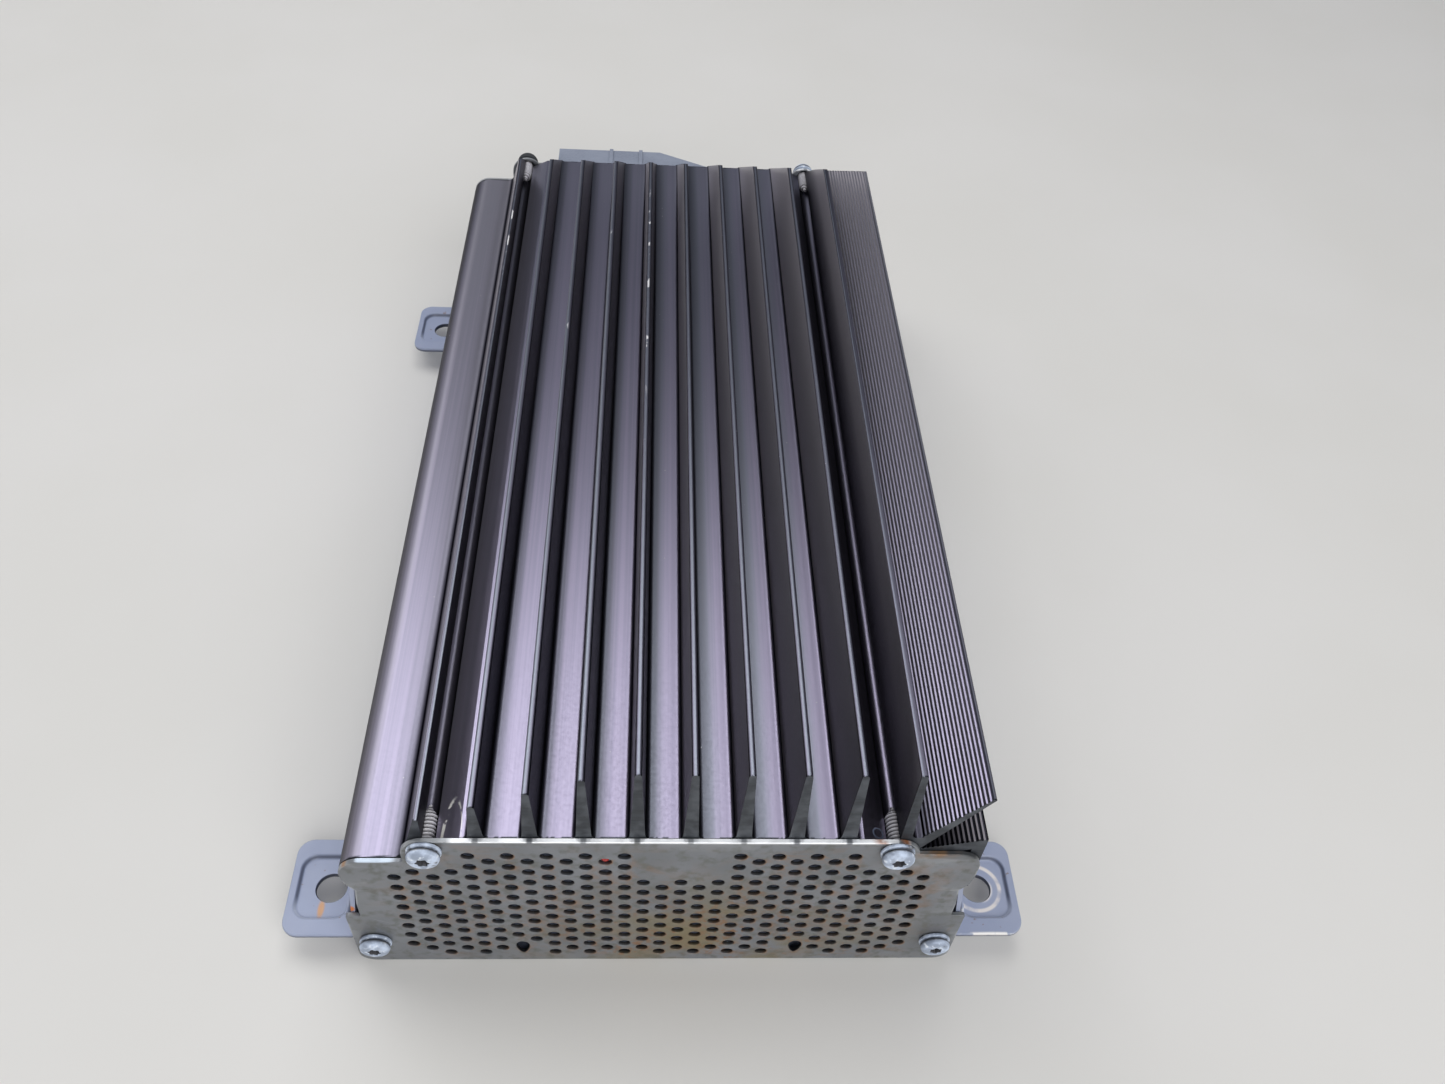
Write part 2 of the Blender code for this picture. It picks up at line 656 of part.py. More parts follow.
def screw_mesh(name, shank, length, head, height, steps):
    """A pan-head screw: its head stands on z = 0 and its shank points down."""
    crown = arc((0, 0), 1, 90, 20, 3)
    profile = [(0, height)] + [(head * x, height * z) for x, z in crown[1:]]
    profile += [(head, 0), (shank, 0), (shank, -length), (0, -length)]
    mesh = turned(name, profile, steps)
    smooth(mesh)
    return mesh


def make_end_screws():
    """Four screws and washers at each end, into the ports above and the tray's tabs below."""
    blank = screw_mesh("end_screw", SHANK_RADIUS, SHANK_LENGTH, HEAD_RADIUS, HEAD_HEIGHT, 12)
    body = piece("end_screw", blank, SCREW_ZINC)
    drive = prism("end_screw_drive", [star(RECESS_RADIUS, RECESS_WAIST, 6)], 2 * RECESS_DEPTH)
    combine(body, cutter("end_screw_drive", drive, (0, 0, HEAD_HEIGHT)), "DIFFERENCE")
    screw = applied(body)
    smooth(screw)
    outline = circle((0, 0), WASHER_RADIUS, 14)
    washer = prism("washer", [outline, circle((0, 0), SCREW_HOLE, 10)], WASHER_THICKNESS)
    for end, side in (("front", -1), ("rear", 1)):
        turn = (-side * math.radians(90), 0, 0)
        for place, (x, z) in END_SCREWS.items():
            piece(f"end_screw_{end}_{place}", screw, SCREW_ZINC, (x, side * HEAD_SEAT_Y, z), turn)
            middle_y = side * (WASHER_OUT_Y - WASHER_THICKNESS / 2)
            piece(f"end_washer_{end}_{place}", washer, SCREW_ZINC, (x, middle_y, z), turn)


def ear_section():
    """The folded sheet of an ear: a leg on the tray wall and a foot reaching out."""
    under = EAR_TOP_Z - EAR_SHEET
    centre = (EAR_BEND, under + EAR_BEND)
    points = [(0, EAR_LEG_TOP_Z)] + arc(centre, EAR_BEND, 180, 270)
    points += [(EAR_REACH, under), (EAR_REACH, EAR_TOP_Z)]
    points += arc(centre, EAR_BEND - EAR_SHEET, 270, 180) + [(EAR_SHEET, EAR_LEG_TOP_Z)]
    return points


def make_ears():
    """Four alike pressed ears with a sunk pocket round the bolt hole."""
    half = EAR_LENGTH / 2
    ear = piece("ear", prism("ear", [ear_section()], EAR_LENGTH), BLUE_GREY_PAINT, turn=XZ)
    plan = [(-half, -half)] + arc((EAR_REACH - EAR_CORNER, EAR_CORNER - half), EAR_CORNER, 270, 360)
    plan += arc((EAR_REACH - EAR_CORNER, half - EAR_CORNER), EAR_CORNER, 0, 90) + [(-half, half)]
    combine(ear, cutter("ear_plan", prism("ear_plan", [plan], 4 * EAR_LEG_TOP_Z)), "INTERSECT")
    low = (POCKET_START, POCKET_RIM_SIDE - half)
    high = (EAR_REACH - POCKET_RIM_OUTER, half - POCKET_RIM_SIDE)
    bump_low = (low[0] - POCKET_WALL, low[1] - POCKET_WALL)
    bump_high = (high[0] + POCKET_WALL, high[1] + POCKET_WALL)
    bump = rounded_box(bump_low, bump_high, POCKET_CORNER + POCKET_WALL)
    bump_height = POCKET_DEPTH + EAR_SHEET / 2
    bump_z = EAR_TOP_Z - EAR_SHEET - POCKET_DEPTH + bump_height / 2
    bump_mesh = prism("ear_bump", [bump], bump_height)
    combine(ear, cutter("ear_bump", bump_mesh, (0, 0, bump_z)), "UNION")
    pocket = prism("ear_pocket", [rounded_box(low, high, POCKET_CORNER)], 2 * POCKET_DEPTH)
    combine(ear, cutter("ear_pocket", pocket, (0, 0, EAR_TOP_Z)), "DIFFERENCE")
    drill = prism("ear_drill", [circle((0, 0), EAR_HOLE_RADIUS, 16)], 2 * EAR_TOP_Z)
    combine(ear, cutter("ear_drill", drill, (EAR_HOLE_REACH, 0, EAR_TOP_Z)), "DIFFERENCE")
    mesh = applied(ear)
    for end, y in (("front", EAR_FRONT_Y), ("rear", EAR_REAR_Y)):
        piece(f"mounting_ear_{end}_right", mesh, BLUE_GREY_PAINT, (TRAY_X + GAP, y, 0))
        piece(f"mounting_ear_{end}_left", mesh, BLUE_GREY_PAINT, (-TRAY_X - GAP, y, 0), (0, 0, math.pi))


def make_board():
    """The circuit board, hung from the port bosses on four pillars with screws from below."""
    bore = BOARD_SCREW_RADIUS + SCREW_PLAY
    corners = [
        (-BOARD_HALF_WIDTH, BOARD_FRONT_Y),
        (BOARD_HALF_WIDTH, BOARD_FRONT_Y),
        (BOARD_HALF_WIDTH, BOARD_REAR_Y),
        (-BOARD_HALF_WIDTH, BOARD_REAR_Y),
    ]
    places = [(side * PORT_X, end * PILLAR_Y) for end in (-1, 1) for side in (-1, 1)]
    holes = [circle(place, bore, 8) for place in places]
    board = prism("main_board", [corners] + holes, BOARD_THICKNESS)
    piece("main_board", board, BOARD_GREEN, (0, 0, BOARD_Z + BOARD_THICKNESS / 2))
    top = BOSS_Z - GAP
    length = top - ON_BOARD_Z
    profile = [(0, length), (PILLAR_RADIUS, length), (PILLAR_RADIUS, 0), (bore, 0)]
    profile += [(bore, PILLAR_BORE_DEPTH), (0, PILLAR_BORE_DEPTH)]
    pillar = turned("board_pillar", profile, 6)
    screw_length = BOARD_THICKNESS + PILLAR_BORE_DEPTH - GAP
    screw = screw_mesh(
        "board_screw", BOARD_SCREW_RADIUS, screw_length, SMALL_HEAD_RADIUS, SMALL_HEAD_HEIGHT, 8
    )
    for number, (x, y) in enumerate(places, 1):
        piece(f"board_pillar_{number}", pillar, BARE_ALUMINIUM, (x, y, ON_BOARD_Z))
        piece(f"board_screw_{number}", screw, SCREW_ZINC, (x, y, BOARD_Z - GAP), (math.pi, 0, 0))


def make_lamp():
    """A small round-ended lamp behind its hole, on two leads bent down to the board."""
    x = LAMP_COLUMN * HOLE_PITCH * math.sin(math.radians(60))
    z = FIRST_ROW_Z + (LAMP_COLUMN % 2) * HOLE_PITCH / 2 + LAMP_ROW * HOLE_PITCH
    tip_y = LAMP_SINK - PLATE_OUT_Y
    base_y = tip_y + LAMP_LENGTH
    dome = arc((0, LAMP_LENGTH - LAMP_RADIUS), LAMP_RADIUS, 90, 0, 4)
    profile = dome + [(LAMP_RADIUS, LAMP_FLANGE_HEIGHT), (LAMP_FLANGE, LAMP_FLANGE_HEIGHT)]
    profile += [(LAMP_FLANGE, 0), (0, 0)]
    mesh = turned("indicator_lamp", profile, 10)
    smooth(mesh)
    lamp = piece("indicator_lamp", mesh, RED_LENS, (x, base_y, z), XZ)
    foot_y = BOARD_FRONT_Y + LAMP_LEAD_REACH
    start_y = base_y - LAMP_FLANGE_HEIGHT / 2
    low, high = z - LAMP_LEAD / 2, z + LAMP_LEAD / 2
    bent = [(start_y, high), (start_y, low), (foot_y - LAMP_LEAD, low), (foot_y - LAMP_LEAD, ON_BOARD_Z)]
    bent += [(foot_y, ON_BOARD_Z), (foot_y, high)]
    for side in (-1, 1):
        lead = prism("lamp_lead", [bent], LAMP_LEAD)
        where = (x + side * LAMP_LEAD_PITCH / 2, 0, 0)
        combine(lamp, cutter("lamp_lead", lead, where, YZ), "UNION")


def make_power_stage():
    """Output devices clamped to a heat spreader that is screwed up under the deck."""
    pad_z = DECK_UNDER_Z - GAP - PAD_THICKNESS / 2
    top = pad_z - PAD_THICKNESS / 2 - GAP
    middle_z = top - SPREADER_HEIGHT / 2
    half_x = SPREADER_WIDTH / 2
    half_y = SPREADER_LENGTH / 2
    bore = SPREADER_SCREW_RADIUS + SCREW_PLAY
    screw_ys = (-SPREADER_SCREW_Y, SPREADER_SCREW_Y)
    outline = [(-half_x, -half_y), (half_x, -half_y), (half_x, half_y), (-half_x, half_y)]
    holes = [circle((0, y), bore, 8) for y in screw_ys]
    pad = prism("thermal_pad", [outline] + holes, PAD_THICKNESS)
    piece("thermal_pad", pad, PAD_GREY, (SPREADER_X, 0, pad_z))
    bar = prism("heat_spreader", [outline] + holes, SPREADER_HEIGHT)
    spreader = piece("heat_spreader", bar, BARE_ALUMINIUM, (SPREADER_X, 0, middle_z))
    length = SPREADER_HEIGHT + PAD_THICKNESS + 3 * GAP + SPREADER_SCREW_BITE
    long_screw = screw_mesh(
        "spreader_screw", SPREADER_SCREW_RADIUS, length, SMALL_HEAD_RADIUS, SMALL_HEAD_HEIGHT, 8
    )
    under = top - SPREADER_HEIGHT - GAP
    for number, y in enumerate(screw_ys, 1):
        piece(f"spreader_screw_{number}", long_screw, SCREW_ZINC, (SPREADER_X, y, under), (math.pi, 0, 0))
    device_x = SPREADER_X - half_x - GAP - DEVICE_THICKNESS / 2
    device_z = top - DEVICE_HEIGHT / 2
    lead_length = device_z - DEVICE_HEIGHT / 2 - ON_BOARD_Z
    body = piece("device", box("device", (DEVICE_THICKNESS, DEVICE_WIDTH, DEVICE_HEIGHT)), MOULDED_BLACK)
    for i in (-1, 0, 1):
        lead = box("device_lead", (LEAD_WIDTH / 2, LEAD_WIDTH, lead_length + LEAD_WIDTH))
        where = (0, i * LEAD_PITCH, -(DEVICE_HEIGHT + lead_length - LEAD_WIDTH) / 2)
        combine(body, cutter("device_lead", lead, where), "UNION")
    device = applied(body)
    for number in range(DEVICE_COUNT):
        y = (number - (DEVICE_COUNT - 1) / 2) * DEVICE_PITCH
        piece(f"output_device_{number + 1}", device, MOULDED_BLACK, (device_x, y, device_z))
    clamp_x = device_x - DEVICE_THICKNESS / 2 - GAP - CLAMP_THICKNESS / 2
    clamp = box("device_clamp", (CLAMP_THICKNESS, CLAMP_LENGTH, CLAMP_HEIGHT))
    strip = piece("device_clamp", clamp, ZINC_STEEL, (clamp_x, 0, device_z))
    clamp_screw = screw_mesh(
        "clamp_screw", SPREADER_SCREW_RADIUS, CLAMP_SCREW_LENGTH, SMALL_HEAD_RADIUS, SMALL_HEAD_HEIGHT, 8
    )
    head_x = clamp_x - CLAMP_THICKNESS / 2 - GAP
    for number, y in enumerate((-CLAMP_SCREW_Y, CLAMP_SCREW_Y), 1):
        drill = rod("clamp_drill", bore, 2 * (CLAMP_SCREW_LENGTH + GAP), 8)
        helper = cutter("clamp_drill", drill, (head_x, y, device_z), (0, math.pi / 2, 0))
        combine(strip, helper, "DIFFERENCE")
        combine(spreader, helper, "DIFFERENCE")
        turn = (0, -math.pi / 2, 0)
        piece(f"clamp_screw_{number}", clamp_screw, SCREW_ZINC, (head_x, y, device_z), turn)


def make_supply():
    """Reservoir cans, a ring choke and a transformer standing on the board."""
    rim = CAN_RADIUS - CAN_BEVEL
    profile = [(0, CAN_HEIGHT), (rim, CAN_HEIGHT), (CAN_RADIUS, CAN_HEIGHT - CAN_BEVEL)]
    profile += [(CAN_RADIUS, CAN_BEVEL), (rim, 0), (0, 0)]
    can = turned("reservoir_can", profile, 16)
    smooth(can)
    for number in range(CAN_COUNT):
        where = (CAN_X, CAN_FIRST_Y + number * CAN_PITCH, ON_BOARD_Z)
        piece(f"reservoir_can_{number + 1}", can, MOULDED_BLACK, where)
    bpy.ops.mesh.primitive_torus_add(
        major_radius=CHOKE_RING, minor_radius=CHOKE_WIRE, major_segments=16, minor_segments=6
    )
    ring = bpy.context.object
    mesh = applied(ring)
    smooth(mesh)
    piece("input_choke", mesh, COPPER, (CHOKE_X, CHOKE_Y, ON_BOARD_Z + CHOKE_WIRE))
    half_x = CORE_LENGTH / 2
    half_z = CORE_HEIGHT / 2
    frame = [(-half_x, -half_z), (half_x, -half_z), (half_x, half_z), (-half_x, half_z)]
    windows = []
    for side in (-1, 1):
        near, far = side * CORE_MIDDLE / 2, side * (half_x - CORE_LIMB)
        low, high = min(near, far), max(near, far)
        inside_z = half_z - CORE_LIMB
        windows.append([(low, -inside_z), (high, -inside_z), (high, inside_z), (low, inside_z)])
    core = prism("transformer_core", [frame] + windows, CORE_WIDTH)
    core_z = ON_BOARD_Z + half_z
    piece("transformer_core", core, FERRITE, (CORE_X, CORE_Y, core_z), XZ)
    inner_x = CORE_MIDDLE / 2 + GAP
    inner_y = CORE_WIDTH / 2 + GAP
    outer_x = half_x - CORE_LIMB - GAP
    outer_y = inner_y + WINDING_DEPTH
    outside = rounded_box((-outer_x, -outer_y), (outer_x, outer_y), WINDING_DEPTH / 2)
    hole = [(-inner_x, -inner_y), (inner_x, -inner_y), (inner_x, inner_y), (-inner_x, inner_y)]
    winding = prism("transformer_winding", [outside, hole], CORE_HEIGHT - 2 * CORE_LIMB - 2 * GAP)
    piece("transformer_winding", winding, COPPER, (CORE_X, CORE_Y, core_z))


def make_connector():
    """The header behind the rear plate: two sockets, each with a row of contacts."""
    back = PLATE_OUT_Y + CONNECTOR_BACK
    front = PLATE_IN_Y - CONNECTOR_INSIDE
    slant_x = CONNECTOR_RIGHT_X - CONNECTOR_SLANT_WIDTH
    slant_y = back - CONNECTOR_SLANT_DEPTH
    plan = [(CONNECTOR_LEFT_X, front), (CONNECTOR_RIGHT_X, front), (CONNECTOR_RIGHT_X, slant_y)]
    plan += [(slant_x, back), (CONNECTOR_LEFT_X, back)]
    height = CONNECTOR_TOP_Z - ON_BOARD_Z
    middle_z = ON_BOARD_Z + height / 2
    mesh = prism("connector_housing", [plan], height)
    housing = piece("connector_housing", mesh, MOULDED_GREY, (0, 0, middle_z))
    for x in RIDGE_XS:
        ridge = box("connector_ridge", (RIDGE_WIDTH, CONNECTOR_BACK - GAP, 2 * RIDGE_HEIGHT))
        where = (x, back - CONNECTOR_BACK / 2, CONNECTOR_TOP_Z)
        combine(housing, cutter("connector_ridge", ridge, where), "UNION")
    half_wall = CONNECTOR_WALL / 2
    sockets = (
        (CONNECTOR_LEFT_X + CONNECTOR_WALL, SOCKET_SPLIT_X - half_wall, back - SOCKET_DEPTH),
        (SOCKET_SPLIT_X + half_wall, CONNECTOR_RIGHT_X - CONNECTOR_WALL, slant_y - SOCKET_DEPTH / 2),
    )
    tail_y = front - CONTACT_TAIL
    for number, (left, right, floor_y) in enumerate(sockets):
        deep = back + CONNECTOR_WALL - floor_y
        cut = box("socket_cutter", (right - left, deep, height - 2 * CONNECTOR_WALL))
        where = ((left + right) / 2, floor_y + deep / 2, middle_z)
        combine(housing, cutter("socket_cutter", cut, where), "DIFFERENCE")
        row = CONTACT_COUNT // 2
        for i in range(row):
            x = left + (right - left) * (i + 0.5) / row
            tip_y = floor_y + min(CONTACT_REACH, SOCKET_DEPTH / 2)
            slot_length = floor_y - tail_y + 2 * CONNECTOR_WALL
            slot_size = (CONTACT_WIDTH + 2 * GAP, slot_length, CONTACT_THICKNESS + 2 * GAP)
            slot = box("contact_slot", slot_size)
            slot_y = (floor_y + tail_y) / 2
            combine(housing, cutter("contact_slot", slot, (x, slot_y, middle_z)), "DIFFERENCE")
            top = middle_z + CONTACT_THICKNESS / 2
            low = middle_z - CONTACT_THICKNESS / 2
            side = [(tail_y, top), (tail_y, ON_BOARD_Z), (tail_y + CONTACT_THICKNESS, ON_BOARD_Z)]
            side += [(tail_y + CONTACT_THICKNESS, low), (tip_y, low), (tip_y, top)]
            blade = prism("connector_contact", [side], CONTACT_WIDTH)
            piece(f"connector_contact_{number * row + i + 1}", blade, TINNED_BRASS, (x, 0, 0), YZ)


make_heatsink()
make_tray()
make_end_plates()
make_end_screws()
make_ears()
make_board()
make_lamp()
make_power_stage()
make_supply()
make_connector()
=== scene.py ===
# %% [markdown]
# # A used car amplifier
#
# The amplifier is a black anodised extrusion with fins, closed by a pierced steel plate and
# standing on a folded tray with four pressed ears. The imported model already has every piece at
# its true size, so this lesson only dresses it: it builds finer surfaces over the plain solids
# and gives each one the finish that years in a car have left on it.

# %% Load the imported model
import json
import math

import bmesh
import bpy
import numpy as np
from mathutils import Euler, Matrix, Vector
from mathutils.geometry import delaunay_2d_cdt, tessellate_polygon


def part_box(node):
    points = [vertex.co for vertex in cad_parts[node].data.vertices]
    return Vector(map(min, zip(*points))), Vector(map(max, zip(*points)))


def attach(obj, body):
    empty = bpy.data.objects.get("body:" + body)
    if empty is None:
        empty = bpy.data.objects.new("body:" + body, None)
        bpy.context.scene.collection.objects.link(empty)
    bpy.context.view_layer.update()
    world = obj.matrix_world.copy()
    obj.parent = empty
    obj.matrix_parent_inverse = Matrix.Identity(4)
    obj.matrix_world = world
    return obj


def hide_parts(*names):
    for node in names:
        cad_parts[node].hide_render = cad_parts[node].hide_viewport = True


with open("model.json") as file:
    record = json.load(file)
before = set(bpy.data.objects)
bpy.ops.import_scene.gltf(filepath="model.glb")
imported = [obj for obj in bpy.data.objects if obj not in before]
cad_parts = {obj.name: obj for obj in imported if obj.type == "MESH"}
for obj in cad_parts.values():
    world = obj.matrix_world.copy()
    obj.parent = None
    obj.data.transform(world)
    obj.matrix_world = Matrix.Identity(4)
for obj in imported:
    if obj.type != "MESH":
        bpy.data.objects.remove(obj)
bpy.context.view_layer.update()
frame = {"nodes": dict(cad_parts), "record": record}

MM = 0.001

# %% [markdown]
# ## Camera
#
# The photograph is taken from in front and above, at an angle of about 47 degrees. Its position
# and lens were worked out from the regular holes of the front plate, which act as a ruler. A
# camera that sits at a measured place needs no guessing: every edge falls where it should.

# %% Put the camera where the photograph was taken
FRAME_WIDTH = 1445
FOCAL_PIXELS = 1196.68
CAMERA_MM = (-5.50, -270.01, 299.69)
CAMERA_TURN_DEGREES = (42.430, -3.484, -1.699)

lens = bpy.data.cameras.new("camera")
lens.sensor_fit = "HORIZONTAL"
lens.sensor_width = 36
lens.lens = FOCAL_PIXELS * lens.sensor_width / FRAME_WIDTH
lens.clip_start = 0.01
camera = bpy.data.objects.new("camera", lens)
camera.location = np.multiply(CAMERA_MM, MM)
camera.rotation_euler = Euler(np.radians(CAMERA_TURN_DEGREES))
bpy.context.scene.collection.objects.link(camera)
bpy.context.scene.camera = camera
bpy.context.scene.view_settings.view_transform = "Standard"
print("lens in mm", round(lens.lens, 2))

# %% [markdown]
# ## Helpers for materials
#
# Colours are picked as sRGB hex values, but shaders work with linear light, so one
# function converts them. A second one adds a node with its settings and links, which keeps each
# material short enough to read as a recipe. The others build masks and layers from such nodes.


# %% Colour and node helpers
def linear(colour):
    """An sRGB hex colour as linear RGBA: ((c + 0.055) / 1.055) ** 2.4 for each channel c, or
    c / 12.92 near black."""
    c = np.array([int(colour[i : i + 2], 16) for i in (1, 3, 5)]) / 255
    bright = ((c + 0.055) / 1.055) ** 2.4
    return (*np.where(c <= 0.04045, c / 12.92, bright).tolist(), 1.0)


def feed(made, **inputs):
    """Links or sets the inputs of a node. An input named _3 is the fourth socket."""
    for name, value in inputs.items():
        key = int(name[1:]) if name[0] == "_" else name.replace("_", " ")
        if isinstance(value, bpy.types.NodeSocket):
            made.id_data.links.new(value, made.inputs[key])
        else:
            made.inputs[key].default_value = value


def node(tree, kind, output=None, settings=None, **inputs):
    """Adds a shader node with its properties and inputs. Returns one output, or the node."""
    made = tree.nodes.new("ShaderNode" + kind)
    for name, value in (settings or {}).items():
        setattr(made, name, value)
    feed(made, **inputs)
    return made if output is None else made.outputs[output]


def begin(name, *marks):
    """An empty material: its tree, its shader, its Object coordinates and the mesh's marks."""
    made = bpy.data.materials.new(name)
    made.use_nodes = True
    tree = made.node_tree
    tree.nodes.clear()
    shader = node(tree, "BsdfPrincipled")
    node(tree, "OutputMaterial", Surface=shader.outputs["BSDF"])
    place = node(tree, "TexCoord", "Object")
    values = [node(tree, "Attribute", "Fac", {"attribute_name": mark}) for mark in marks]
    return made, tree, shader, place, *values


def dress(shader, colour, relief, strength, depth_mm, **inputs):
    """Gives a shader its colour, a relief that is depth_mm deep, and its other inputs."""
    depth, tree = depth_mm * MM, shader.id_data
    bump = node(tree, "Bump", "Normal", Height=relief, Strength=strength, Distance=depth)
    feed(shader, Base_Color=colour, Normal=bump, **inputs)


def patches(place, size_mm, low, high, stretch=(1, 1, 1), detail=3.0):
    """A mask from 0 to 1 of soft patches about size_mm across. The noise passes from 0 to 1
    between the values low and high, and stretch lengthens the patches along an axis."""
    tree = place.id_data
    scale = tuple(1 / s for s in stretch)
    moved = node(tree, "Mapping", "Vector", Vector=place, Scale=scale)
    fine = 0.5 / (size_mm * MM)
    noise = node(tree, "TexNoise", "Fac", Vector=moved, Scale=fine, Detail=detail)
    return node(
        tree, "MapRange", "Result", {"interpolation_type": "SMOOTHSTEP"},
        Value=noise, From_Min=low, From_Max=high,
    )


def spot(place, centre_mm, radii_mm, soft=0.6):
    """A mask that is 1 inside an ellipsoid and fades to 0 at its surface."""
    tree = place.id_data
    scale = tuple(1 / (r * MM) for r in radii_mm)
    offset = tuple(-c / r for c, r in zip(centre_mm, radii_mm))
    moved = node(tree, "Mapping", "Vector", Vector=place, Scale=scale, Location=offset)
    far = node(tree, "VectorMath", "Value", {"operation": "LENGTH"}, _0=moved)
    return node(
        tree, "MapRange", "Result", {"interpolation_type": "SMOOTHSTEP"},
        Value=far, From_Min=1.0, From_Max=1.0 - soft,
    )


def product(*masks):
    """Masks multiplied with each other."""
    result = masks[0]
    tree = result.id_data
    times = {"operation": "MULTIPLY"}
    for mask in masks[1:]:
        result = node(tree, "Math", "Value", times, _0=result, _1=mask)
    return result


def layered(base, *layers):
    """A base colour with further (mask, colour) layers laid over it in turn."""
    colour, rgba = linear(base), {"data_type": "RGBA"}
    for mask, top in layers:
        top = linear(top)
        colour = node(mask.id_data, "Mix", 2, rgba, _0=mask, _6=colour, _7=top)
    return colour


print("helpers ready")

# %% [markdown]
# ## Floor and light
#
# The floor is a plain pale surface that takes a soft shadow. Beyond the lamps' reach it glows a
# little, so that low views keep a pale horizon. A broad lamp hangs overhead and a little behind,
# where the fins mirror it: level faces near the front then show it as a pale sheen, and those
# further back mirror the darker room. A lamp beside the camera lights the front plate, and a weak
# one on the left lights that side.

# %% Lay the floor
FLOOR_HALF = 4.0
FLOOR_COLOUR = "#dbd9d4"
LIT_REACH_MM, FAR_GLOW = 2000, 0.6
floor_mesh = bpy.data.meshes.new("floor")
corner = np.array([[-1, -1, 0], [1, -1, 0], [1, 1, 0], [-1, 1, 0]]) * FLOOR_HALF
floor_mesh.from_pydata(corner.tolist(), [], [(0, 1, 2, 3)])
floor = bpy.data.objects.new("floor", floor_mesh)
bpy.context.scene.collection.objects.link(floor)

FLOOR_PAINT, tree, shader, place = begin("floor_paint")
shade = patches(place, 60, 0.3, 0.7)
colour = layered(FLOOR_COLOUR, (shade, "#dedcd8"))
near = spot(place, (0, 0, 0), (LIT_REACH_MM,) * 3, 0.7)
glow = node(tree, "MapRange", "Result", Value=near, To_Min=FAR_GLOW, To_Max=0.0)
feed(shader, Base_Color=colour, Roughness=0.6)
feed(shader, Emission_Color=linear(FLOOR_COLOUR), Emission_Strength=glow)
floor_mesh.materials.append(FLOOR_PAINT)
print("floor", 2 * FLOOR_HALF, "m wide")


# %% Hang the lamps
def lamp(name, place_m, aim_m, size_m, watts):
    """A soft rectangular lamp at a place, facing a point."""
    light = bpy.data.lights.new(name, "AREA")
    light.shape = "RECTANGLE"
    light.size, light.size_y = size_m
    light.energy = watts
    made = bpy.data.objects.new(name, light)
    made.location = place_m
    facing = Vector(np.subtract(aim_m, place_m))
    made.rotation_euler = facing.to_track_quat("-Z", "Y").to_euler()
    bpy.context.scene.collection.objects.link(made)


lamp("overhead_lamp", (-0.20, 0.42, 1.20), (-0.20, 0.40, 0.0), (1.1, 0.9), 7.0)
lamp("front_lamp", (0.35, -1.10, 1.00), (0.0, -0.10, 0.03), (1.4, 1.0), 15.0)
lamp("left_lamp", (-1.20, 0.90, 1.30), (0.0, 0.0, 0.05), (1.2, 0.9), 5.0)

world = bpy.data.worlds.new("room")
bpy.context.scene.world = world
world.use_nodes = True
tree = world.node_tree
look_way = node(tree, "TexCoord", "Generated")
height = node(tree, "SeparateXYZ", "Z", Vector=look_way)
upward = node(tree, "MapRange", "Result", Value=height, From_Max=0.6)
room = layered("#f6f5f7", (upward, "#868a94"))
feed(tree.nodes["Background"], Color=room, Strength=0.65)

# %% [markdown]
# ## Finishes
#
# Each finish starts from what the real surface is. The heatsink is aluminium, extruded and then
# anodised black: the die leaves fine lines along its length, and the dye has aged to a violet
# tint that shows wherever the metal mirrors something bright. Edges that are handled lose the
# dye and show bare metal.

# %% Black anodised aluminium
ANODISED, tree, shader, place, faded, dust_and_sheen, wear, rosy = begin(
    "anodised_aluminium_extruded", "faded", "dust", "wear", "rosy"
)
# Real die lines and saw lines are finer. They are drawn as coarse as they need to be to show.
die_lines = patches(place, 0.5, 0.30, 0.70, stretch=(1, 200, 1))
satin = patches(place, 0.4, 0.25, 0.75, detail=2)
specks = patches(place, 0.45, 0.80, 0.84, detail=1)
chips = patches(place, 1.2, 0.58, 0.62, stretch=(1, 3, 1))
most = {"operation": "MAXIMUM"}
handled = spot(place, (-5.9, 30, 87.3), (1.6, 60, 1.2), 0.4)
for where, reach in (((-53.2, 80, 68.6), 26), ((-17.6, 52, 84.9), 9), ((-29.4, 20, 79.5), 16)):
    more = spot(place, where, (1.6, reach, 1.2), 0.4)
    handled = node(tree, "Math", "Value", most, _0=handled, _1=more)
broken = patches(place, 1.6, 0.40, 0.50)
scratch, ring_mark = (
    node(
        tree, "Math", "Value", {"operation": "SUBTRACT", "use_clamp": True},
        _0=spot(place, *outer, soft), _1=spot(place, *inner, soft),
    )
    for soft, outer, inner in (
        (0.10, ((-46.6, -141, 59.5), (2.6, 11.5, 6)), ((-46.3, -142, 59.5), (2.2, 11.1, 6))),
        (0.15, ((48.2, -138.2, 59.6), (1.5, 1.5, 3)), ((48.2, -138.2, 59.6), (1.15, 1.15, 3))),
    )
)
scratched = product(scratch, broken)
chipped = product(wear, chips, handled)
# The pale fading colour is dye that has lost its colour and also a painted sheen on level faces,
# painted weaker as shade where fins, channels and the wing hide them. The rose tint thins out
# towards the rear as a painted reflection, and the dust layer also paints faces lighter as light.
colour = layered(
    "#16191e",
    (faded, "#868995"),
    (product(faded, rosy), "#9d97ae"),
    (product(faded, rosy, die_lines), "#a7a0b7"),
    (dust_and_sheen, "#c6c1c9"),
    (wear, "#868a96"),
    (chipped, "#f0efee"),
    (scratched, "#eceae4"),
    (ring_mark, "#5f6b80"),
    (specks, "#b4b4b8"),
)
dulled = dust_and_sheen
for mask in (chipped, scratched, ring_mark):
    dulled = node(tree, "Math", "Value", most, _0=dulled, _1=mask)
bare = node(tree, "MapRange", "Result", Value=dulled, To_Min=1.0, To_Max=0.3)
rough = node(tree, "MapRange", "Result", Value=satin, To_Min=0.31, To_Max=0.37)
dress(shader, colour, die_lines, 0.06, 0.05, Metallic=bare, Roughness=rough)
feed(shader, Specular_Tint=linear("#b9b9bd"))
print(ANODISED.name)

# %% [markdown]
# Where the extrusion was sawn to length its ends are flat and rougher than its sides. They were
# dyed with the rest, but no sun has reached them, so they stay a dull black with a little dust.

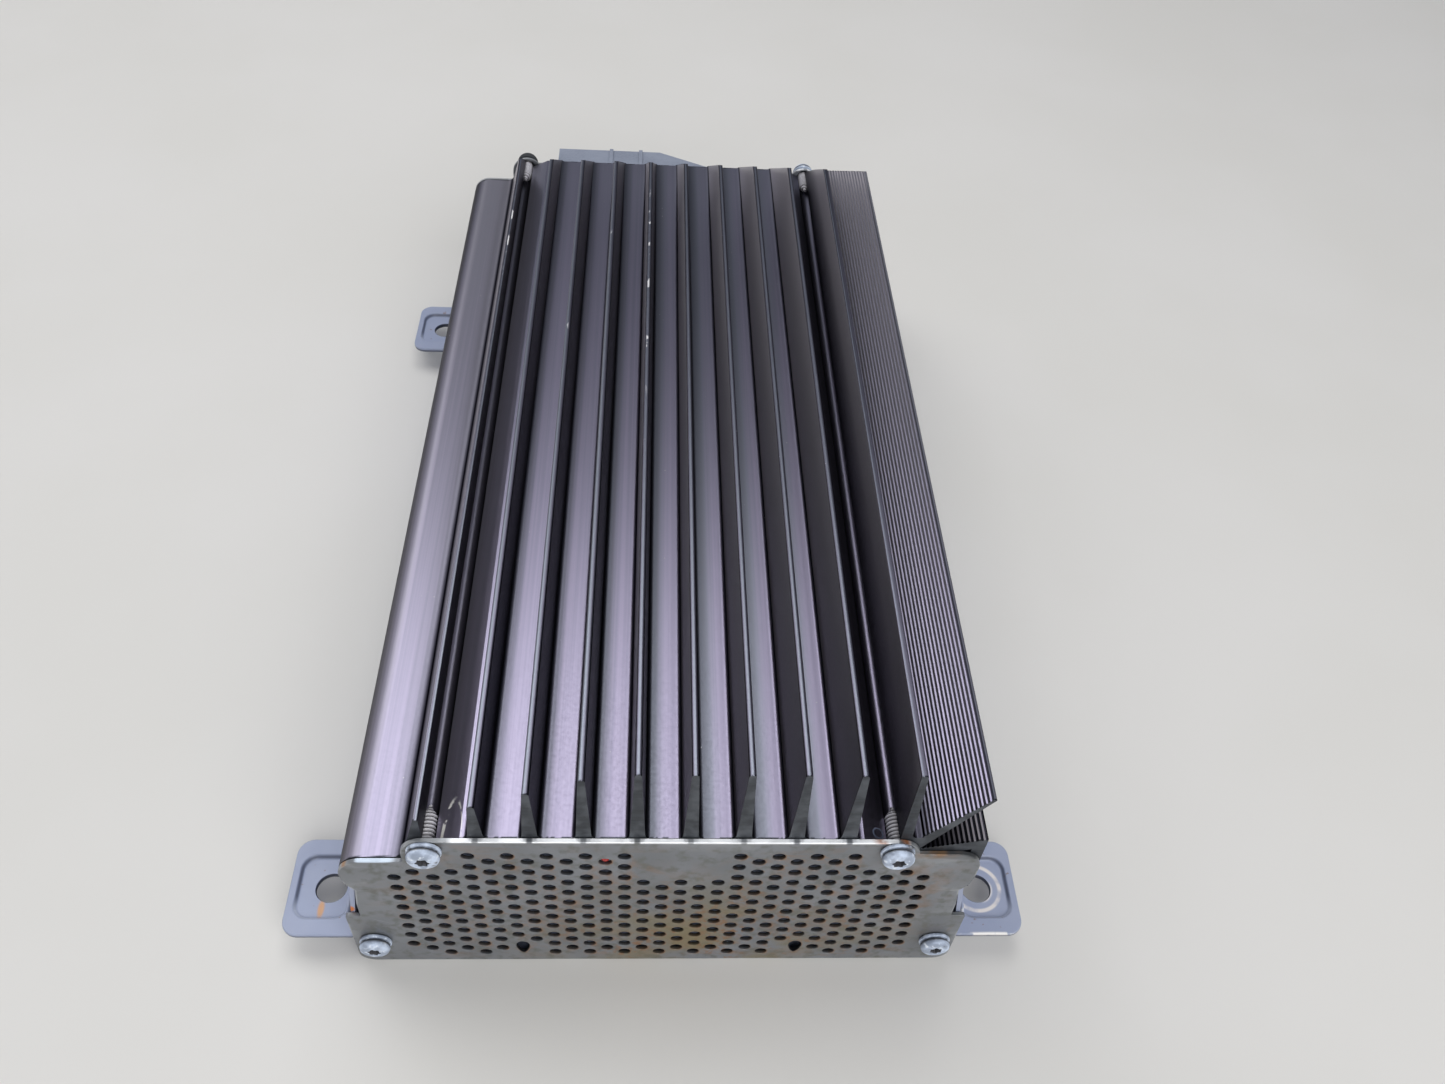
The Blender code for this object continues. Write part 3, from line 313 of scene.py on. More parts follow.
# %% Sawn ends of the extrusion
SAWN, tree, shader, place = begin("anodised_aluminium_sawn")
saw_lines = patches(place, 0.4, 0.30, 0.70, stretch=(12, 1, 1))
dust = patches(place, 2.5, 0.40, 0.70)
colour = layered("#3a3d42", (saw_lines, "#44484e"), (dust, "#5b5f65"))
dress(shader, colour, saw_lines, 0.2, 0.05, Metallic=0.6, Roughness=0.55)
print(SAWN.name)

# %% [markdown]
# The front plate is zinc-plated sheet. Zinc goes dull and greenish grey, and rust comes through
# first at the punched holes, where the coating was cut. Its top edge is worn bright by rubbing,
# with gaps of painted shade under the fins, and the holes' bores are painted dark as shade.

# %% Zinc-plated sheet with rust
FIN_PITCH = 11.75
PLATE_Y = -141
ZINC_SHEET, tree, shader, place, rim, bore, wear = begin(
    "zinc_plated_sheet", "rim", "bore", "wear"
)
spangle = patches(place, 7, 0.30, 0.70)
grime = patches(place, 1.4, 0.45, 0.75)
damp = spot(place, (14, PLATE_Y, 12), (62, 40, 40), 0.9)
rusty = patches(place, 5.0, 0.44, 0.66)
stain = patches(place, 6.0, 0.36, 0.66, stretch=(1.6, 1, 1))
around = patches(place, 2.2, 0.40, 0.60)
crumbs = patches(place, 0.8, 0.50, 0.66)
axes = node(tree, "SeparateXYZ", Vector=place)
once = 2 * math.pi / (FIN_PITCH * MM)
turn = node(tree, "Math", "Value", {"operation": "MULTIPLY"}, _0=axes.outputs["X"], _1=once)
between = node(tree, "Math", "Value", {"operation": "COSINE"}, _0=turn)
# Painted shade: the bright top edge breaks once per fin pitch, under each fin.
clear_of_fin_shade, top, from_left = (
    node(tree, "MapRange", "Result", Value=value, From_Min=low, From_Max=high)
    for value, low, high in (
        (between, -0.98, -0.90),
        (axes.outputs["Z"], 60.3 * MM, 60.8 * MM),
        (axes.outputs["X"], -47.5 * MM, -46.0 * MM),
    )
)
washer_rust = spot(place, (52, PLATE_Y, 61.4), (6.5, 3, 1.4), 0.5)
corner_rust = spot(place, (61.5, PLATE_Y, 55.8), (7.0, 3, 2.6), 0.8)
dull_edge = spot(place, (68.0, PLATE_Y, 55.6), (8.0, 3, 2.2), 0.3)
left_rust = spot(place, (-71.6, PLATE_Y, 51.0), (1.6, 3, 1.8), 0.6)
shoulder_edge = spot(place, (-64.5, PLATE_Y, 52.4), (6.0, 3, 0.9), 0.3)
step_edge = patches(place, 4.0, 0.45, 0.60, stretch=(3, 1, 1))
colour = layered(
    "#777a7e",
    (spangle, "#84878c"),
    (grime, "#717371"),
    (product(damp, stain), "#83785c"),
    (product(rim, around), "#8f7057"),
    (product(damp, rusty, crumbs), "#8d6745"),
    (product(wear, step_edge), "#a9acaf"),
    (product(wear, top, clear_of_fin_shade, from_left), "#f4f6f8"),
    (product(wear, shoulder_edge), "#c9d5e3"),
    (product(wear, washer_rust, around), "#a5704f"),
    (product(wear, dull_edge), "#4f5153"),
    (product(corner_rust, around), "#866a50"),
    (left_rust, "#ad8664"),
    # Painted shade: the holes' bores are painted dark.
    (bore, "#1d1d21"),
)
rough = node(tree, "MapRange", "Result", Value=grime, To_Min=0.42, To_Max=0.62)
dress(shader, colour, grime, 0.12, 0.08, Metallic=0.45, Roughness=rough)
print(ZINC_SHEET.name)

# %% [markdown]
# The ears and the tray are steel pressed to shape and painted a semi-gloss blue grey. A bolt's
# washer has rubbed a bright ring round the front right hole, rust has run from the front left
# one, and corners that were knocked show bare steel.

# %% Painted pressed steel
EAR_X, EAR_FRONT_Y, EAR_REAR_Y = 83.905, -126.1, 104.7
PAINT, tree, shader, place, wear, dirt, rubbed = begin(
    "painted_pressed_steel", "wear", "dirt", "rubbed"
)
cloud = patches(place, 6, 0.30, 0.70)
peel = patches(place, 0.6, 0.25, 0.75, detail=1)
nicks = patches(place, 1.6, 0.58, 0.66)
hole = (EAR_X * MM, EAR_FRONT_Y * MM, 0)
moved = node(tree, "VectorMath", "Vector", {"operation": "SUBTRACT"}, _0=place, _1=hole)
level = node(tree, "VectorMath", "Vector", {"operation": "MULTIPLY"}, _0=moved, _1=(1, 1, 0))
reach = node(tree, "VectorMath", "Value", {"operation": "LENGTH"}, _0=level)
ring_in, ring_out, lip = (
    node(tree, "MapRange", "Result", Value=reach, From_Min=start * MM, From_Max=end * MM)
    for start, end in ((5.6, 6.0), (7.0, 6.6), (4.6, 4.1))
)
ring_rub = patches(place, 2.4, 0.30, 0.60)
lip_side = spot(place, (EAR_X + 4.2, EAR_FRONT_Y - 1.8, 8), (4.6, 4.6, 5), 0.6)
foot_rust = spot(place, (-73.6, -140.5, 26.4), (1.3, 3, 1.8), 0.5)
streak = spot(place, (-85.5, -131.8, 8), (1.15, 3.3, 4), 0.6)
edge_rub = spot(place, (86, -139.4, 8.8), (14, 0.9, 1.2), 0.5)
edge_bits = patches(place, 2.6, 0.50, 0.58)
rust_dots = patches(place, 1.0, 0.68, 0.74)
# Painted shade darkens the pocket's wall, the hole's inner wall and the lower edge; the pocket's
# front wall has a painted highlight.
colour = layered(
    "#969fb8",
    (cloud, "#9ea6bd"),
    (rust_dots, "#8b8084"),
    (rubbed, "#c3cad8"),
    (product(wear, nicks), "#d8dade"),
    (product(ring_in, ring_out, ring_rub), "#e6e0dc"),
    (product(lip, lip_side), "#e3e0e0"),
    (product(edge_rub, edge_bits), "#f3f1ee"),
    (dirt, "#3b3f4c"),
    (streak, "#c99a74"),
    (foot_rust, "#d07c45"),
)
dress(shader, colour, peel, 0.10, 0.05, Roughness=0.38)
print(PAINT.name)

# %% [markdown]
# The screws are zinc-plated too. Salt has turned much of the plating to a white crust, which is
# rough, while the thread inside the heatsink stays bright. The thread's grooves, the driver's
# socket and the gap under the head are painted dark as shade.

# %% Zinc-plated screws with white crust
SCREW_ZINC, tree, shader, place, recess, thread, groove = begin(
    "zinc_plated_screw", "recess", "thread", "groove"
)
crust = patches(place, 1.4, 0.36, 0.62)
pits = patches(place, 0.7, 0.56, 0.70)
dark = patches(place, 1.5, 0.62, 0.74)
# The rear left screw and its washer are darker and rougher.
rear_left_darker = spot(place, (-52.3, 145.0, 58.0), (7.5, 4.4, 7.5), 0.2)
# Painted shade: the thread's grooves, the driver's socket and the gap under the head.
colour = layered(
    "#9da8ba", (crust, "#d0dcee"), (pits, "#e8eff7"), (dark, "#78797e"),
    (thread, "#e6e5ea"), (groove, "#5d5a5c"), (recess, "#4a4a4e"), (rear_left_darker, "#3a3c3f"),
)
dry = node(tree, "Math", "Value", {"operation": "MAXIMUM"}, _0=crust, _1=rear_left_darker)
rough = node(tree, "MapRange", "Result", Value=dry, To_Min=0.42, To_Max=0.75)
dress(shader, colour, crust, 0.35, 0.12, Metallic=0.3, Roughness=rough)
print(SCREW_ZINC.name)

# %% [markdown]
# ## Helpers for surfaces
#
# Every new piece is a surface worked out as whole arrays. A grid of points becomes quads, an
# outline gets its corners rounded by one formula, and a sheet with a hole is a single ring that
# runs over its top, round its edge, back underneath and up through the hole.


# %% Grids, outlines and pieces
def grid_faces(rows, columns, wrap_rows=False, wrap_columns=True):
    """Quads between the neighbours of a grid whose points are stored row after row."""
    r, c = np.meshgrid(
        np.arange(rows if wrap_rows else rows - 1),
        np.arange(columns if wrap_columns else columns - 1),
        indexing="ij",
    )
    r_next, c_next = (r + 1) % rows, (c + 1) % columns
    quads = [r * columns + c, r * columns + c_next, r_next * columns + c_next, r_next * columns + c]
    return np.stack(quads, -1).reshape(-1, 4)


def rounded(corners, radii, steps=6):
    """A closed outline whose corners are arcs. Where the edges turn by phi, the arc of radius r
    starts r tan(phi / 2) before the corner, and its spokes go from one edge's normal to the next
    as (n1 sin((1 - t) phi) + n2 sin(t phi)) / sin(phi)."""
    here = np.asarray(corners, float)
    radius = np.broadcast_to(np.asarray(radii, float), len(here))
    edge = np.roll(here, -1, 0) - here
    go_out = edge / np.linalg.norm(edge, axis=1, keepdims=True)
    go_in = np.roll(go_out, 1, 0)
    cross = go_in[:, 0] * go_out[:, 1] - go_in[:, 1] * go_out[:, 0]
    turn = np.arctan2(cross, (go_in * go_out).sum(1))
    turn = np.where(np.abs(turn) < 1e-6, 1e-6, turn)
    side = np.sign(turn)[:, None]
    to_centre = side * np.stack([-go_in[:, 1], go_in[:, 0]], 1)
    to_centre_out = side * np.stack([-go_out[:, 1], go_out[:, 0]], 1)
    phi = np.abs(turn)[:, None, None]
    start = here - go_in * (radius * np.tan(np.abs(turn) / 2))[:, None]
    centre = start + to_centre * radius[:, None]
    t = np.linspace(0, 1, steps + 1)[None, :, None]
    spokes = to_centre[:, None] * np.sin((1 - t) * phi) + to_centre_out[:, None] * np.sin(t * phi)
    points = centre[:, None] - radius[:, None, None] * spokes / np.sin(phi)
    points = points.reshape(-1, 2)
    apart = np.linalg.norm(points - np.roll(points, -1, 0), axis=1) > 1e-4
    return points[apart]


def cap(outline):
    """Triangles that fill one closed outline."""
    flat = np.c_[outline, np.zeros(len(outline))]
    return np.array(tessellate_polygon([flat.tolist()]))


def piece(name, blocks, looks, slot, *stands_for, sharp=38):
    """Joins blocks of (points in mm, faces, marks) into one welded mesh that faces outwards.
    The marks are values per point for the material's attributes; the mark "look" says which of
    the looks a block's faces take."""
    points = np.concatenate([np.reshape(b[0], (-1, 3)) for b in blocks])
    starts = np.cumsum([0] + [np.size(b[0]) // 3 for b in blocks[:-1]])
    faces = [f for start, b in zip(starts, blocks) for f in (np.asarray(b[1]) + start).tolist()]
    mesh = bpy.data.meshes.new(name)
    mesh.from_pydata((points * MM).tolist(), [], faces)
    which = np.repeat([b[2].get("look", 0) for b in blocks], [len(b[1]) for b in blocks])
    mesh.polygons.foreach_set("material_index", which.astype(np.int32))
    for mark in sorted({key for b in blocks for key in b[2]} - {"look"}):
        values = [np.broadcast_to(b[2].get(mark, 0.0), np.shape(b[0])[:-1]).ravel() for b in blocks]
        layer = mesh.attributes.new(mark, "FLOAT", "POINT")
        layer.data.foreach_set("value", np.concatenate(values).astype(np.float32))
    work = bmesh.new()
    work.from_mesh(mesh)
    bmesh.ops.remove_doubles(work, verts=work.verts, dist=2e-6)
    bmesh.ops.recalc_face_normals(work, faces=work.faces)
    work.to_mesh(mesh)
    work.free()
    mesh.shade_smooth()
    mesh.set_sharp_from_angle(angle=math.radians(sharp))
    for look in looks:
        mesh.materials.append(look)
    made = bpy.data.objects.new(name, mesh)
    bpy.context.scene.collection.objects.link(made)
    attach(made, "root")
    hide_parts(*stands_for)
    print(name, len(mesh.polygons), "faces")


# %% [markdown]
# ## Heatsink
#
# The heatsink is pressed through a die, so one section describes it from end to end. The section
# is drawn as corners with radii: eight free fins, a fin beside each screw channel, a round
# shoulder on the left and a splayed wing with fine flutes on the right. It is carried along the
# length, and the fins' rear ends are cut off at a slope, so each point of the section simply
# stops earlier the higher it stands.

# %% Heatsink section
END_Y = 140.5
FIN_COUNT = 8
OUTER_FIN_X = (FIN_COUNT - 1) / 2 * FIN_PITCH
PORT_X, PORT_Z, PORT_RADIUS, PORT_LIP = OUTER_FIN_X + 11.18, 58.0, 2.2, 0.4
WALL_X = PORT_X + 20.5
END_FIN_X = PORT_X + PORT_LIP
TOP_Z, VALLEY_Z, LEFT_TIP_Z, LEFT_SLOPE = 87.0, 60.9, 68.3, 0.464
TIP_HALF, ROOT_HALF, TIP_ROUND, FILLET = 0.75, 1.75, 0.60, 1.2
RUBBED = 0.7  # height of the rubbed band below a fin's tip
SHOULDER_Z, LEG_Z = 52.1, 38.2
SHADE_X = PORT_X + 11.2  # where the painted shade on the shoulder begins, darkening towards its fin


def tip_line(x):
    """Height of the fins' tips: level, and sloping down to the left."""
    return np.minimum(TOP_Z, LEFT_TIP_Z + (x + END_FIN_X) * LEFT_SLOPE)


def fin_corners(x):
    """Corners of one fin and their radii: root, worn band, tip, and back down."""
    top = tip_line(x)
    lean = (ROOT_HALF - TIP_HALF) / (top - VALLEY_Z) * RUBBED
    half = np.array([ROOT_HALF, TIP_HALF + lean, TIP_HALF])
    height = np.array([VALLEY_Z, top - RUBBED, top])
    left, right = np.c_[x - half, height], np.c_[x + half, height][::-1]
    return np.r_[left, right], [FILLET, 0, TIP_ROUND, TIP_ROUND, 0, FILLET]


def valley_floor(x):
    """Points on the level floor to the right of the fin at x, where the dye changes its tint."""
    across = x + np.linspace(0.28, 0.72, 12) * FIN_PITCH
    return np.c_[across, np.full_like(across, VALLEY_Z)], 0


def fluted(start, end, phases, depths, pitch=1.14):
    """A straight face with fine flutes. Each one repeats the same few points: phases along the
    pitch, and depths sunk to the right of the run."""
    start, end = np.asarray(start, float), np.asarray(end, float)
    run = end - start
    length = np.linalg.norm(run)
    count = round(length / pitch)
    t = (np.arange(count)[:, None] + np.asarray(phases)).ravel() / count
    sunk = np.array([run[1], -run[0]]) / length
    return start + t[:, None] * run + np.tile(depths, count)[:, None] * sunk


def channel():
    """The left screw channel: a round groove, open at the top, then the lip to the valley."""
    a = np.linspace(math.acos(-PORT_LIP / PORT_RADIUS), 2 * math.pi, 22)
    ring = np.c_[PORT_RADIUS * np.cos(a) - PORT_X, PORT_RADIUS * np.sin(a) + PORT_Z]
    strip_x = OUTER_FIN_X + ROOT_HALF + FILLET + 0.5
    return np.r_[ring, [[PORT_RADIUS - PORT_X, 58.3], [-strip_x, VALLEY_Z]]]


WING_ROOT = np.array([PORT_X + 5.0, VALLEY_Z + 0.6])
WING_ALONG = np.array([math.cos(math.radians(52.7)), math.sin(math.radians(52.7))])
WING_TIP = WING_ROOT + 21.0 * WING_ALONG
WING_EDGE = WING_TIP + 0.9 * np.array([WING_ALONG[1], -WING_ALONG[0]])
LAND_AND_GROOVE = (0.0, 0.35, 0.42, 0.50, 0.86, 0.94), (0.0, 0.0, 0.06, 0.30, 0.30, 0.06)
TREAD_AND_RISER = (0.0, 0.04, 0.20, 0.24, 0.30, 0.95), (0.01, 0.06, 0.28, 0.32, 0.30, 0.03)
JAW_X, JAW_Z, JAW_END_Z = PORT_X + 5.5, 56.6, 60.8
JAW = fluted((JAW_X, JAW_Z), (WALL_X, JAW_END_Z), *LAND_AND_GROOVE)
WING = fluted(WING_ROOT, WING_TIP, *TREAD_AND_RISER)
port = channel()
fin_places = np.arange(FIN_COUNT) * FIN_PITCH - OUTER_FIN_X
fins = [run for x in fin_places for run in (fin_corners(x), valley_floor(x))][:-1]
runs = [
    ([[-WALL_X, LEG_Z], [-WALL_X, SHOULDER_Z]], [0.3, 6.0]),
    ([[-SHADE_X, SHOULDER_Z], [-PORT_X - 5.8, SHOULDER_Z]], [0, 2.6]),
    ([[-END_FIN_X - 1.22, LEFT_TIP_Z - RUBBED], [-END_FIN_X - 1.1, LEFT_TIP_Z]], [0, 0.3]),
    ([[-END_FIN_X - 0.6, LEFT_TIP_Z], [-END_FIN_X - 0.5, LEFT_TIP_Z]], 0),
    ([[-END_FIN_X, LEFT_TIP_Z], [-END_FIN_X, LEFT_TIP_Z - RUBBED]], [0.3, 0]),
    (port, 0),
    *fins,
    (port[::-1] * (-1, 1), 0),
    ([[END_FIN_X, TOP_Z - 10], [END_FIN_X, TOP_Z - RUBBED], [END_FIN_X, TOP_Z]], [0, 0, 0.3]),
    ([[END_FIN_X + 0.5, TOP_Z], [END_FIN_X + 0.6, TOP_Z]], 0),
    ([[END_FIN_X + 1.5, TOP_Z], [END_FIN_X + 1.53, TOP_Z - RUBBED]], [0.3, 0]),
    ([[END_FIN_X + 2.6, VALLEY_Z]], [FILLET]),
    (WING, 0),
    ([WING_EDGE], 0),
    (JAW, 0),
    ([[WALL_X, JAW_END_Z], [WALL_X, 60.2]], [0.2, 0]),
    ([[WALL_X, LEG_Z], [WALL_X - 3, LEG_Z], [WALL_X - 3, 56.3]], [0.3, 0.3, 0]),
    ([[JAW_X, 51.8], [PORT_X - 3.9, 51.8], [PORT_X - 6.15, 56.4]], 0),
    ([[6.15 - PORT_X, 56.4], [3.9 - PORT_X, 51.8], [-PORT_X - 3.9, 51.8]], 0),
    ([[-PORT_X - 5.8, 48.9], [3 - WALL_X, 48.9], [3 - WALL_X, LEG_Z]], [0, 0, 0.3]),
]
corners = np.concatenate([np.asarray(points, float) for points, _ in runs])
radii = np.concatenate([np.broadcast_to(r, len(points)) for points, r in runs])
section = rounded(corners, radii)
print("section points", len(section))

# %% Carry the section along the heatsink
RAKE_FOOT_Z, RAKE_RUN = VALLEY_Z + 0.4, 1.686
END_BAND = 0.5
ROWS_ALONG = 14
STRIP_X, STRIP_HALF = 47.3, 2.9  # the floor between the left channel and the first fin


def rise(value, start, run):
    """0 up to start, then a straight rise to 1 over run."""
    return np.clip((value - start) / run, 0, 1)


def tip_wear(points):
    """1 on the flat tips of fins and wing, 0 elsewhere. The end fins are worn on one edge only."""
    x, z = points.T
    on_fin = (np.abs(x) < END_FIN_X + 2) & (z > tip_line(x) - 0.01)
    on_wing = (x > END_FIN_X + 2) & (z > WING_TIP[1] - 0.4)
    dark_edge = (np.abs(x) > END_FIN_X + 0.55) & (np.abs(x) < END_FIN_X + 2)
    return np.where((on_fin & ~dark_edge) | on_wing, 1.0, 0.0)


def fade_and_sheen(points):
    """How far the dye has lost its colour with a painted sheen, how far it has turned rose, dust
    and a painted haze. Fading and sheen follow how much a face looks up, (up - 0.65) / 0.3, and are
    painted weaker as shade in the channels, at the wing's root, below the wing and on the right of
    the shoulder. Each valley is rose on its right and painted a darker grey on its left, as shade
    from its fin. Dust lies on the fins' left faces and the wing's risers and also paints them
    lighter as painted light; the haze is a painted sheen on the right faces."""
    along = np.roll(points, -1, 0) - np.roll(points, 1, 0)
    along /= np.maximum(np.linalg.norm(along, axis=1), 1e-9)[:, None]
    up, left = along.T
    x, z = points.T
    amount = rise(up, 0.65, 0.3)
    open_wing = np.clip((z - WING_ROOT[1] - 0.5) / 6, 0.12, 1)
    in_channel = (np.abs(x + PORT_X) < PORT_RADIUS + 0.1) & (z < PORT_Z)
    amount *= np.where(x > END_FIN_X + 2, open_wing, np.where(in_channel, 0.35, 1.0))
    shoulder = np.interp(x, [-SHADE_X, 3.2 - SHADE_X], [0.76, 0.42])
    amount *= np.where(x < -PORT_X - 5, shoulder, 1.0)
    among_fins = np.abs(x) < END_FIN_X + 2
    amount *= np.where(among_fins & (z > tip_line(x) - RUBBED), 0.3, 1.0)
    across = ((x - OUTER_FIN_X) / FIN_PITCH) % 1
    in_valley = (np.abs(x) < OUTER_FIN_X) & (z < VALLEY_Z + 2)
    # Painted shade: the left of each valley is a darker grey beside its fin.
    shaded_by_fin = (0.42 + 0.58 * rise(across, 0.2, 0.28)) * rise(up, 0.3, 0.6)
    amount = np.where(in_valley & (across < 0.5), shaded_by_fin, amount)
    begins = np.clip(0.32 + 0.006 * x, 0.16, 0.42)
    rosy = np.where(in_valley, rise(across, begins, 0.24), 0.9)
    on_fin = among_fins & (z > VALLEY_Z + 0.6)
    on_wing = (x > WING_ROOT[0]) & (z > WING_ROOT[1] + 1)
    # Dust on the left faces also paints them lighter as painted light; the haze is a painted sheen
    # on the right faces.
    dust = np.where(on_fin | on_wing, rise(left, 0.8, 0.15), 0.0)
    haze = np.where(on_fin, rise(-left, 0.8, 0.15), 0.0)
    return amount, rosy, dust, haze


def make_heatsink():
    """Rows of the section from the front to a rear that is cut on a slope: the last y is
    END_Y - RAKE_RUN (z - foot) for every point above the foot. Each region has its own share of
    dust and painted sheen, and back goes from 0 at the front to 1 at the rear. Towards the rear the
    rose tint and the wing's sheen are painted weaker, a painted reflection of the darker room."""
    across, up = section.T
    length = 2 * END_Y - RAKE_RUN * np.maximum(up - RAKE_FOOT_Z, 0)
    inner = np.linspace(0, 1, ROWS_ALONG)[:, None] * (length - 2 * END_BAND) + END_BAND
    along = np.concatenate([np.zeros((1, len(section))), inner, length[None]])
    body = np.stack(np.broadcast_arrays(across, along - END_Y, up), -1)
    faded, rosy, dust, haze = fade_and_sheen(section)
    back = along / (2 * END_Y)
    jaw_line = JAW_Z + (across - JAW_X) * (JAW_END_Z - JAW_Z) / (WALL_X - JAW_X)
    jaw_sheen = (np.abs(up - jaw_line) < 0.03) * rise(across, PORT_X + 8, 10)
    strip = (np.abs(across + STRIP_X) < STRIP_HALF) & (up > PORT_Z + 0.2) & (up < VALLEY_Z)
    shoulder = (across < -PORT_X - 5) & (np.abs(up - SHOULDER_Z) < 0.4)
    round_edge = (across < 6 - WALL_X) & (up > SHOULDER_Z - 4) & (up < SHOULDER_Z - 0.2)
    wing = rise(up, WING_ROOT[1] + 1, 6) * (across > WING_ROOT[0])
    end_flank = (np.abs(across - END_FIN_X) < 0.1) & (up > VALLEY_Z) & (up < TOP_Z - 0.5)
    left_flank = (across > -PORT_X - 5.4) & (across < -END_FIN_X - 0.9) & (up > SHOULDER_Z + 1)
    left_port = np.abs(across + PORT_X) < PORT_RADIUS + 0.1
    left_port &= (up > PORT_Z - 3) & (up < LEFT_TIP_Z - 1)
    # Dust and painted sheen by region: the lands below the wing are painted lit towards the right
    # and shaded by the wing towards the left, and the haze lifts the right faces as painted light.
    dust_and_sheen_by_region = 0.18 * left_flank + 0.06 * left_port + 0.85 * jaw_sheen + 0.16 * strip
    dust_and_sheen_by_region = dust_and_sheen_by_region + 0.22 * round_edge * (1 - 0.8 * back)
    dust_and_sheen_by_region = dust_and_sheen_by_region + 0.5 * end_flank * np.clip((up - TOP_Z + 10) / 9, 0.3, 1)
    dust_and_sheen_by_region = dust_and_sheen_by_region + (0.30 * shoulder + 0.35 * wing + 0.4 * haze * back) * back + 0.04 * haze
    # The dust mark carries both real dust and the painted sheen set out above.
    marks = {
        "wear": tip_wear(section),
        "faded": faded * (1 - 0.5 * wing * back),
        "rosy": rosy * (1 - 0.8 * back),
        "dust": np.maximum(dust * (0.25 + 0.75 * np.sqrt(back)), dust_and_sheen_by_region),
    }
    blocks = [(body, grid_faces(*along.shape), marks), (body[0], cap(section), {"look": 1})]
    high = up > RAKE_FOOT_Z
    edges = np.flatnonzero(high != np.roll(high, 1))
    for start, end in zip(edges[::2], edges[1::2]):
        fin = np.arange(start - 1, end + 1)
        blocks.append((body[-1][fin], cap(section[fin]), {"look": 1}))
    low = np.flatnonzero(~high)
    blocks.append((body[-1][low], cap(section[low]), {"look": 1}))
    looks = [ANODISED, SAWN]
    piece("heatsink_extrusion", blocks, looks, "black_anodised", "heatsink", sharp=20)


make_heatsink()

# %% [markdown]
# ## End plates
#
# The front plate is punched with round holes on a triangular pattern. Each hole is a small ring
# of faces from the plate's face over the rolled edge and through to the back, made for all holes
# at once, and a constrained triangulation fills the flat metal between them. The rear plate is
# the same blank without the pattern, cut out for the connector.

# %% Plate outline and holes
TRAY_X = WALL_X + 1.1
GAP, PLATE_SHEET = 0.3, 1.0
PLATE_OUT = END_Y + GAP + PLATE_SHEET
RIGHT_TOP_Z, LOBE_Z = 56.0, 55.7
FRONT_LOBE_END, REAR_LOBE_END = 90, 140
SCREWS = {
    "top_left": (-PORT_X, PORT_Z),
    "top_right": (PORT_X, PORT_Z),
    "bottom_left": (3.4 - WALL_X, 12.2),
    "bottom_right": (WALL_X - 3.4, 12.2),
}
SCREW_HOLE = 2.2
HOLE_PITCH, HOLE_RADIUS, FIRST_ROW = 5.0, 1.5, 4.8
DROP_HOLES, DROP_RADIUS = np.array([[-33.9, 7.6], [34.4, 7.6]]), 1.55


def plate_outline(lobe_end):
    """The blank: a wide foot, a neck on each side, lobes round the top screws and round shoulders.
    The top edge leaves the lobes at lobe_end degrees."""
    foot, neck, lobe = TRAY_X + 0.9, WALL_X - 2.4, VALLEY_Z + 0.3 - LOBE_Z
    right = [((foot, 0.3), 4), ((foot, 25.0), 0.6), ((neck + 0.8, 25.0), 0.6)]
    right += [((neck + 0.8, 31.0), 5), ((neck, 38.4), 1.0)]
    right += [((WALL_X - 0.5, 41.6), 3.5), ((WALL_X, 45.2), 3.0)]
    left = [((-x, z), r) for (x, z), r in reversed(right)]
    right += [((WALL_X, RIGHT_TOP_Z), 6.0)]
    a = np.radians(np.linspace(3, lobe_end, 14))
    arc = np.c_[PORT_X + lobe * np.cos(a), LOBE_Z + lobe * np.sin(a)]
    a = np.radians(np.linspace(180 - lobe_end, 180, 14))
    other = np.c_[lobe * np.cos(a) - PORT_X, LOBE_Z + lobe * np.sin(a)]
    middle = [(tuple(p), 0) for p in np.r_[arc, other]]
    middle += [((-PORT_X - lobe, SHOULDER_Z), 0.8), ((-WALL_X, SHOULDER_Z), 6.0)]
    corners, radii = zip(*(right + middle + left))
    return rounded(corners, radii, 8)


def pattern():
    """Centres of the punched holes: columns 60 degrees apart, less the places of screws, plain
    holes and the bare middle of the top."""
    column_pitch = HOLE_PITCH * math.sin(math.radians(60))
    column, row = np.meshgrid(np.arange(-14, 15), np.arange(0, 11), indexing="ij")
    x = column * column_pitch
    z = FIRST_ROW + (column % 2) * HOLE_PITCH / 2 + row * HOLE_PITCH
    in_plate = z < VALLEY_Z - 4.5
    by_screw = (np.abs(x) > PORT_X - 6.8) & (z > PORT_Z - 9.5)
    in_corner = (np.abs(x) > WALL_X - 14.5) & (z < 7.0)
    by_plain = np.hypot(np.abs(x) - 34.3, z - 7.3) < 4.3
    bare = (np.abs(x - 4.4) < 9.5) & (z > 43.5)
    keep = in_plate & ~(by_screw | in_corner | by_plain | bare)
    return np.c_[x[keep], z[keep]]


def inset(outline, distance):
    """The outline moved inwards along its corner normals."""
    edge = np.roll(outline, -1, 0) - outline
    normal = np.stack([-edge[:, 1], edge[:, 0]], 1) / np.linalg.norm(edge, axis=1)[:, None]
    corner = normal + np.roll(normal, 1, 0)
    corner /= np.maximum((corner * normal).sum(1), 0.6)[:, None]
    return outline + corner * distance


def filled(loops):
    """Points and triangles between the first loop and the round ones inside it. A triangle with
    all its corners on one inner loop lies in that hole and is left out."""
    sizes = [len(loop) for loop in loops]
    starts = np.cumsum([0] + sizes[:-1])
    edges = [np.c_[np.arange(n), (np.arange(n) + 1) % n] + s for n, s in zip(sizes, starts)]
    found = delaunay_2d_cdt(
        np.concatenate(loops).tolist(), np.concatenate(edges).tolist(), [], 1, 1e-6
    )
    triangles = np.array(found[2])
    loop = np.repeat(np.arange(len(loops)), sizes)[triangles]
    in_hole = (loop[:, 0] > 0) & (loop == loop[:, :1]).all(1)
    return np.array([tuple(p) for p in found[0]]), triangles[~in_hole]


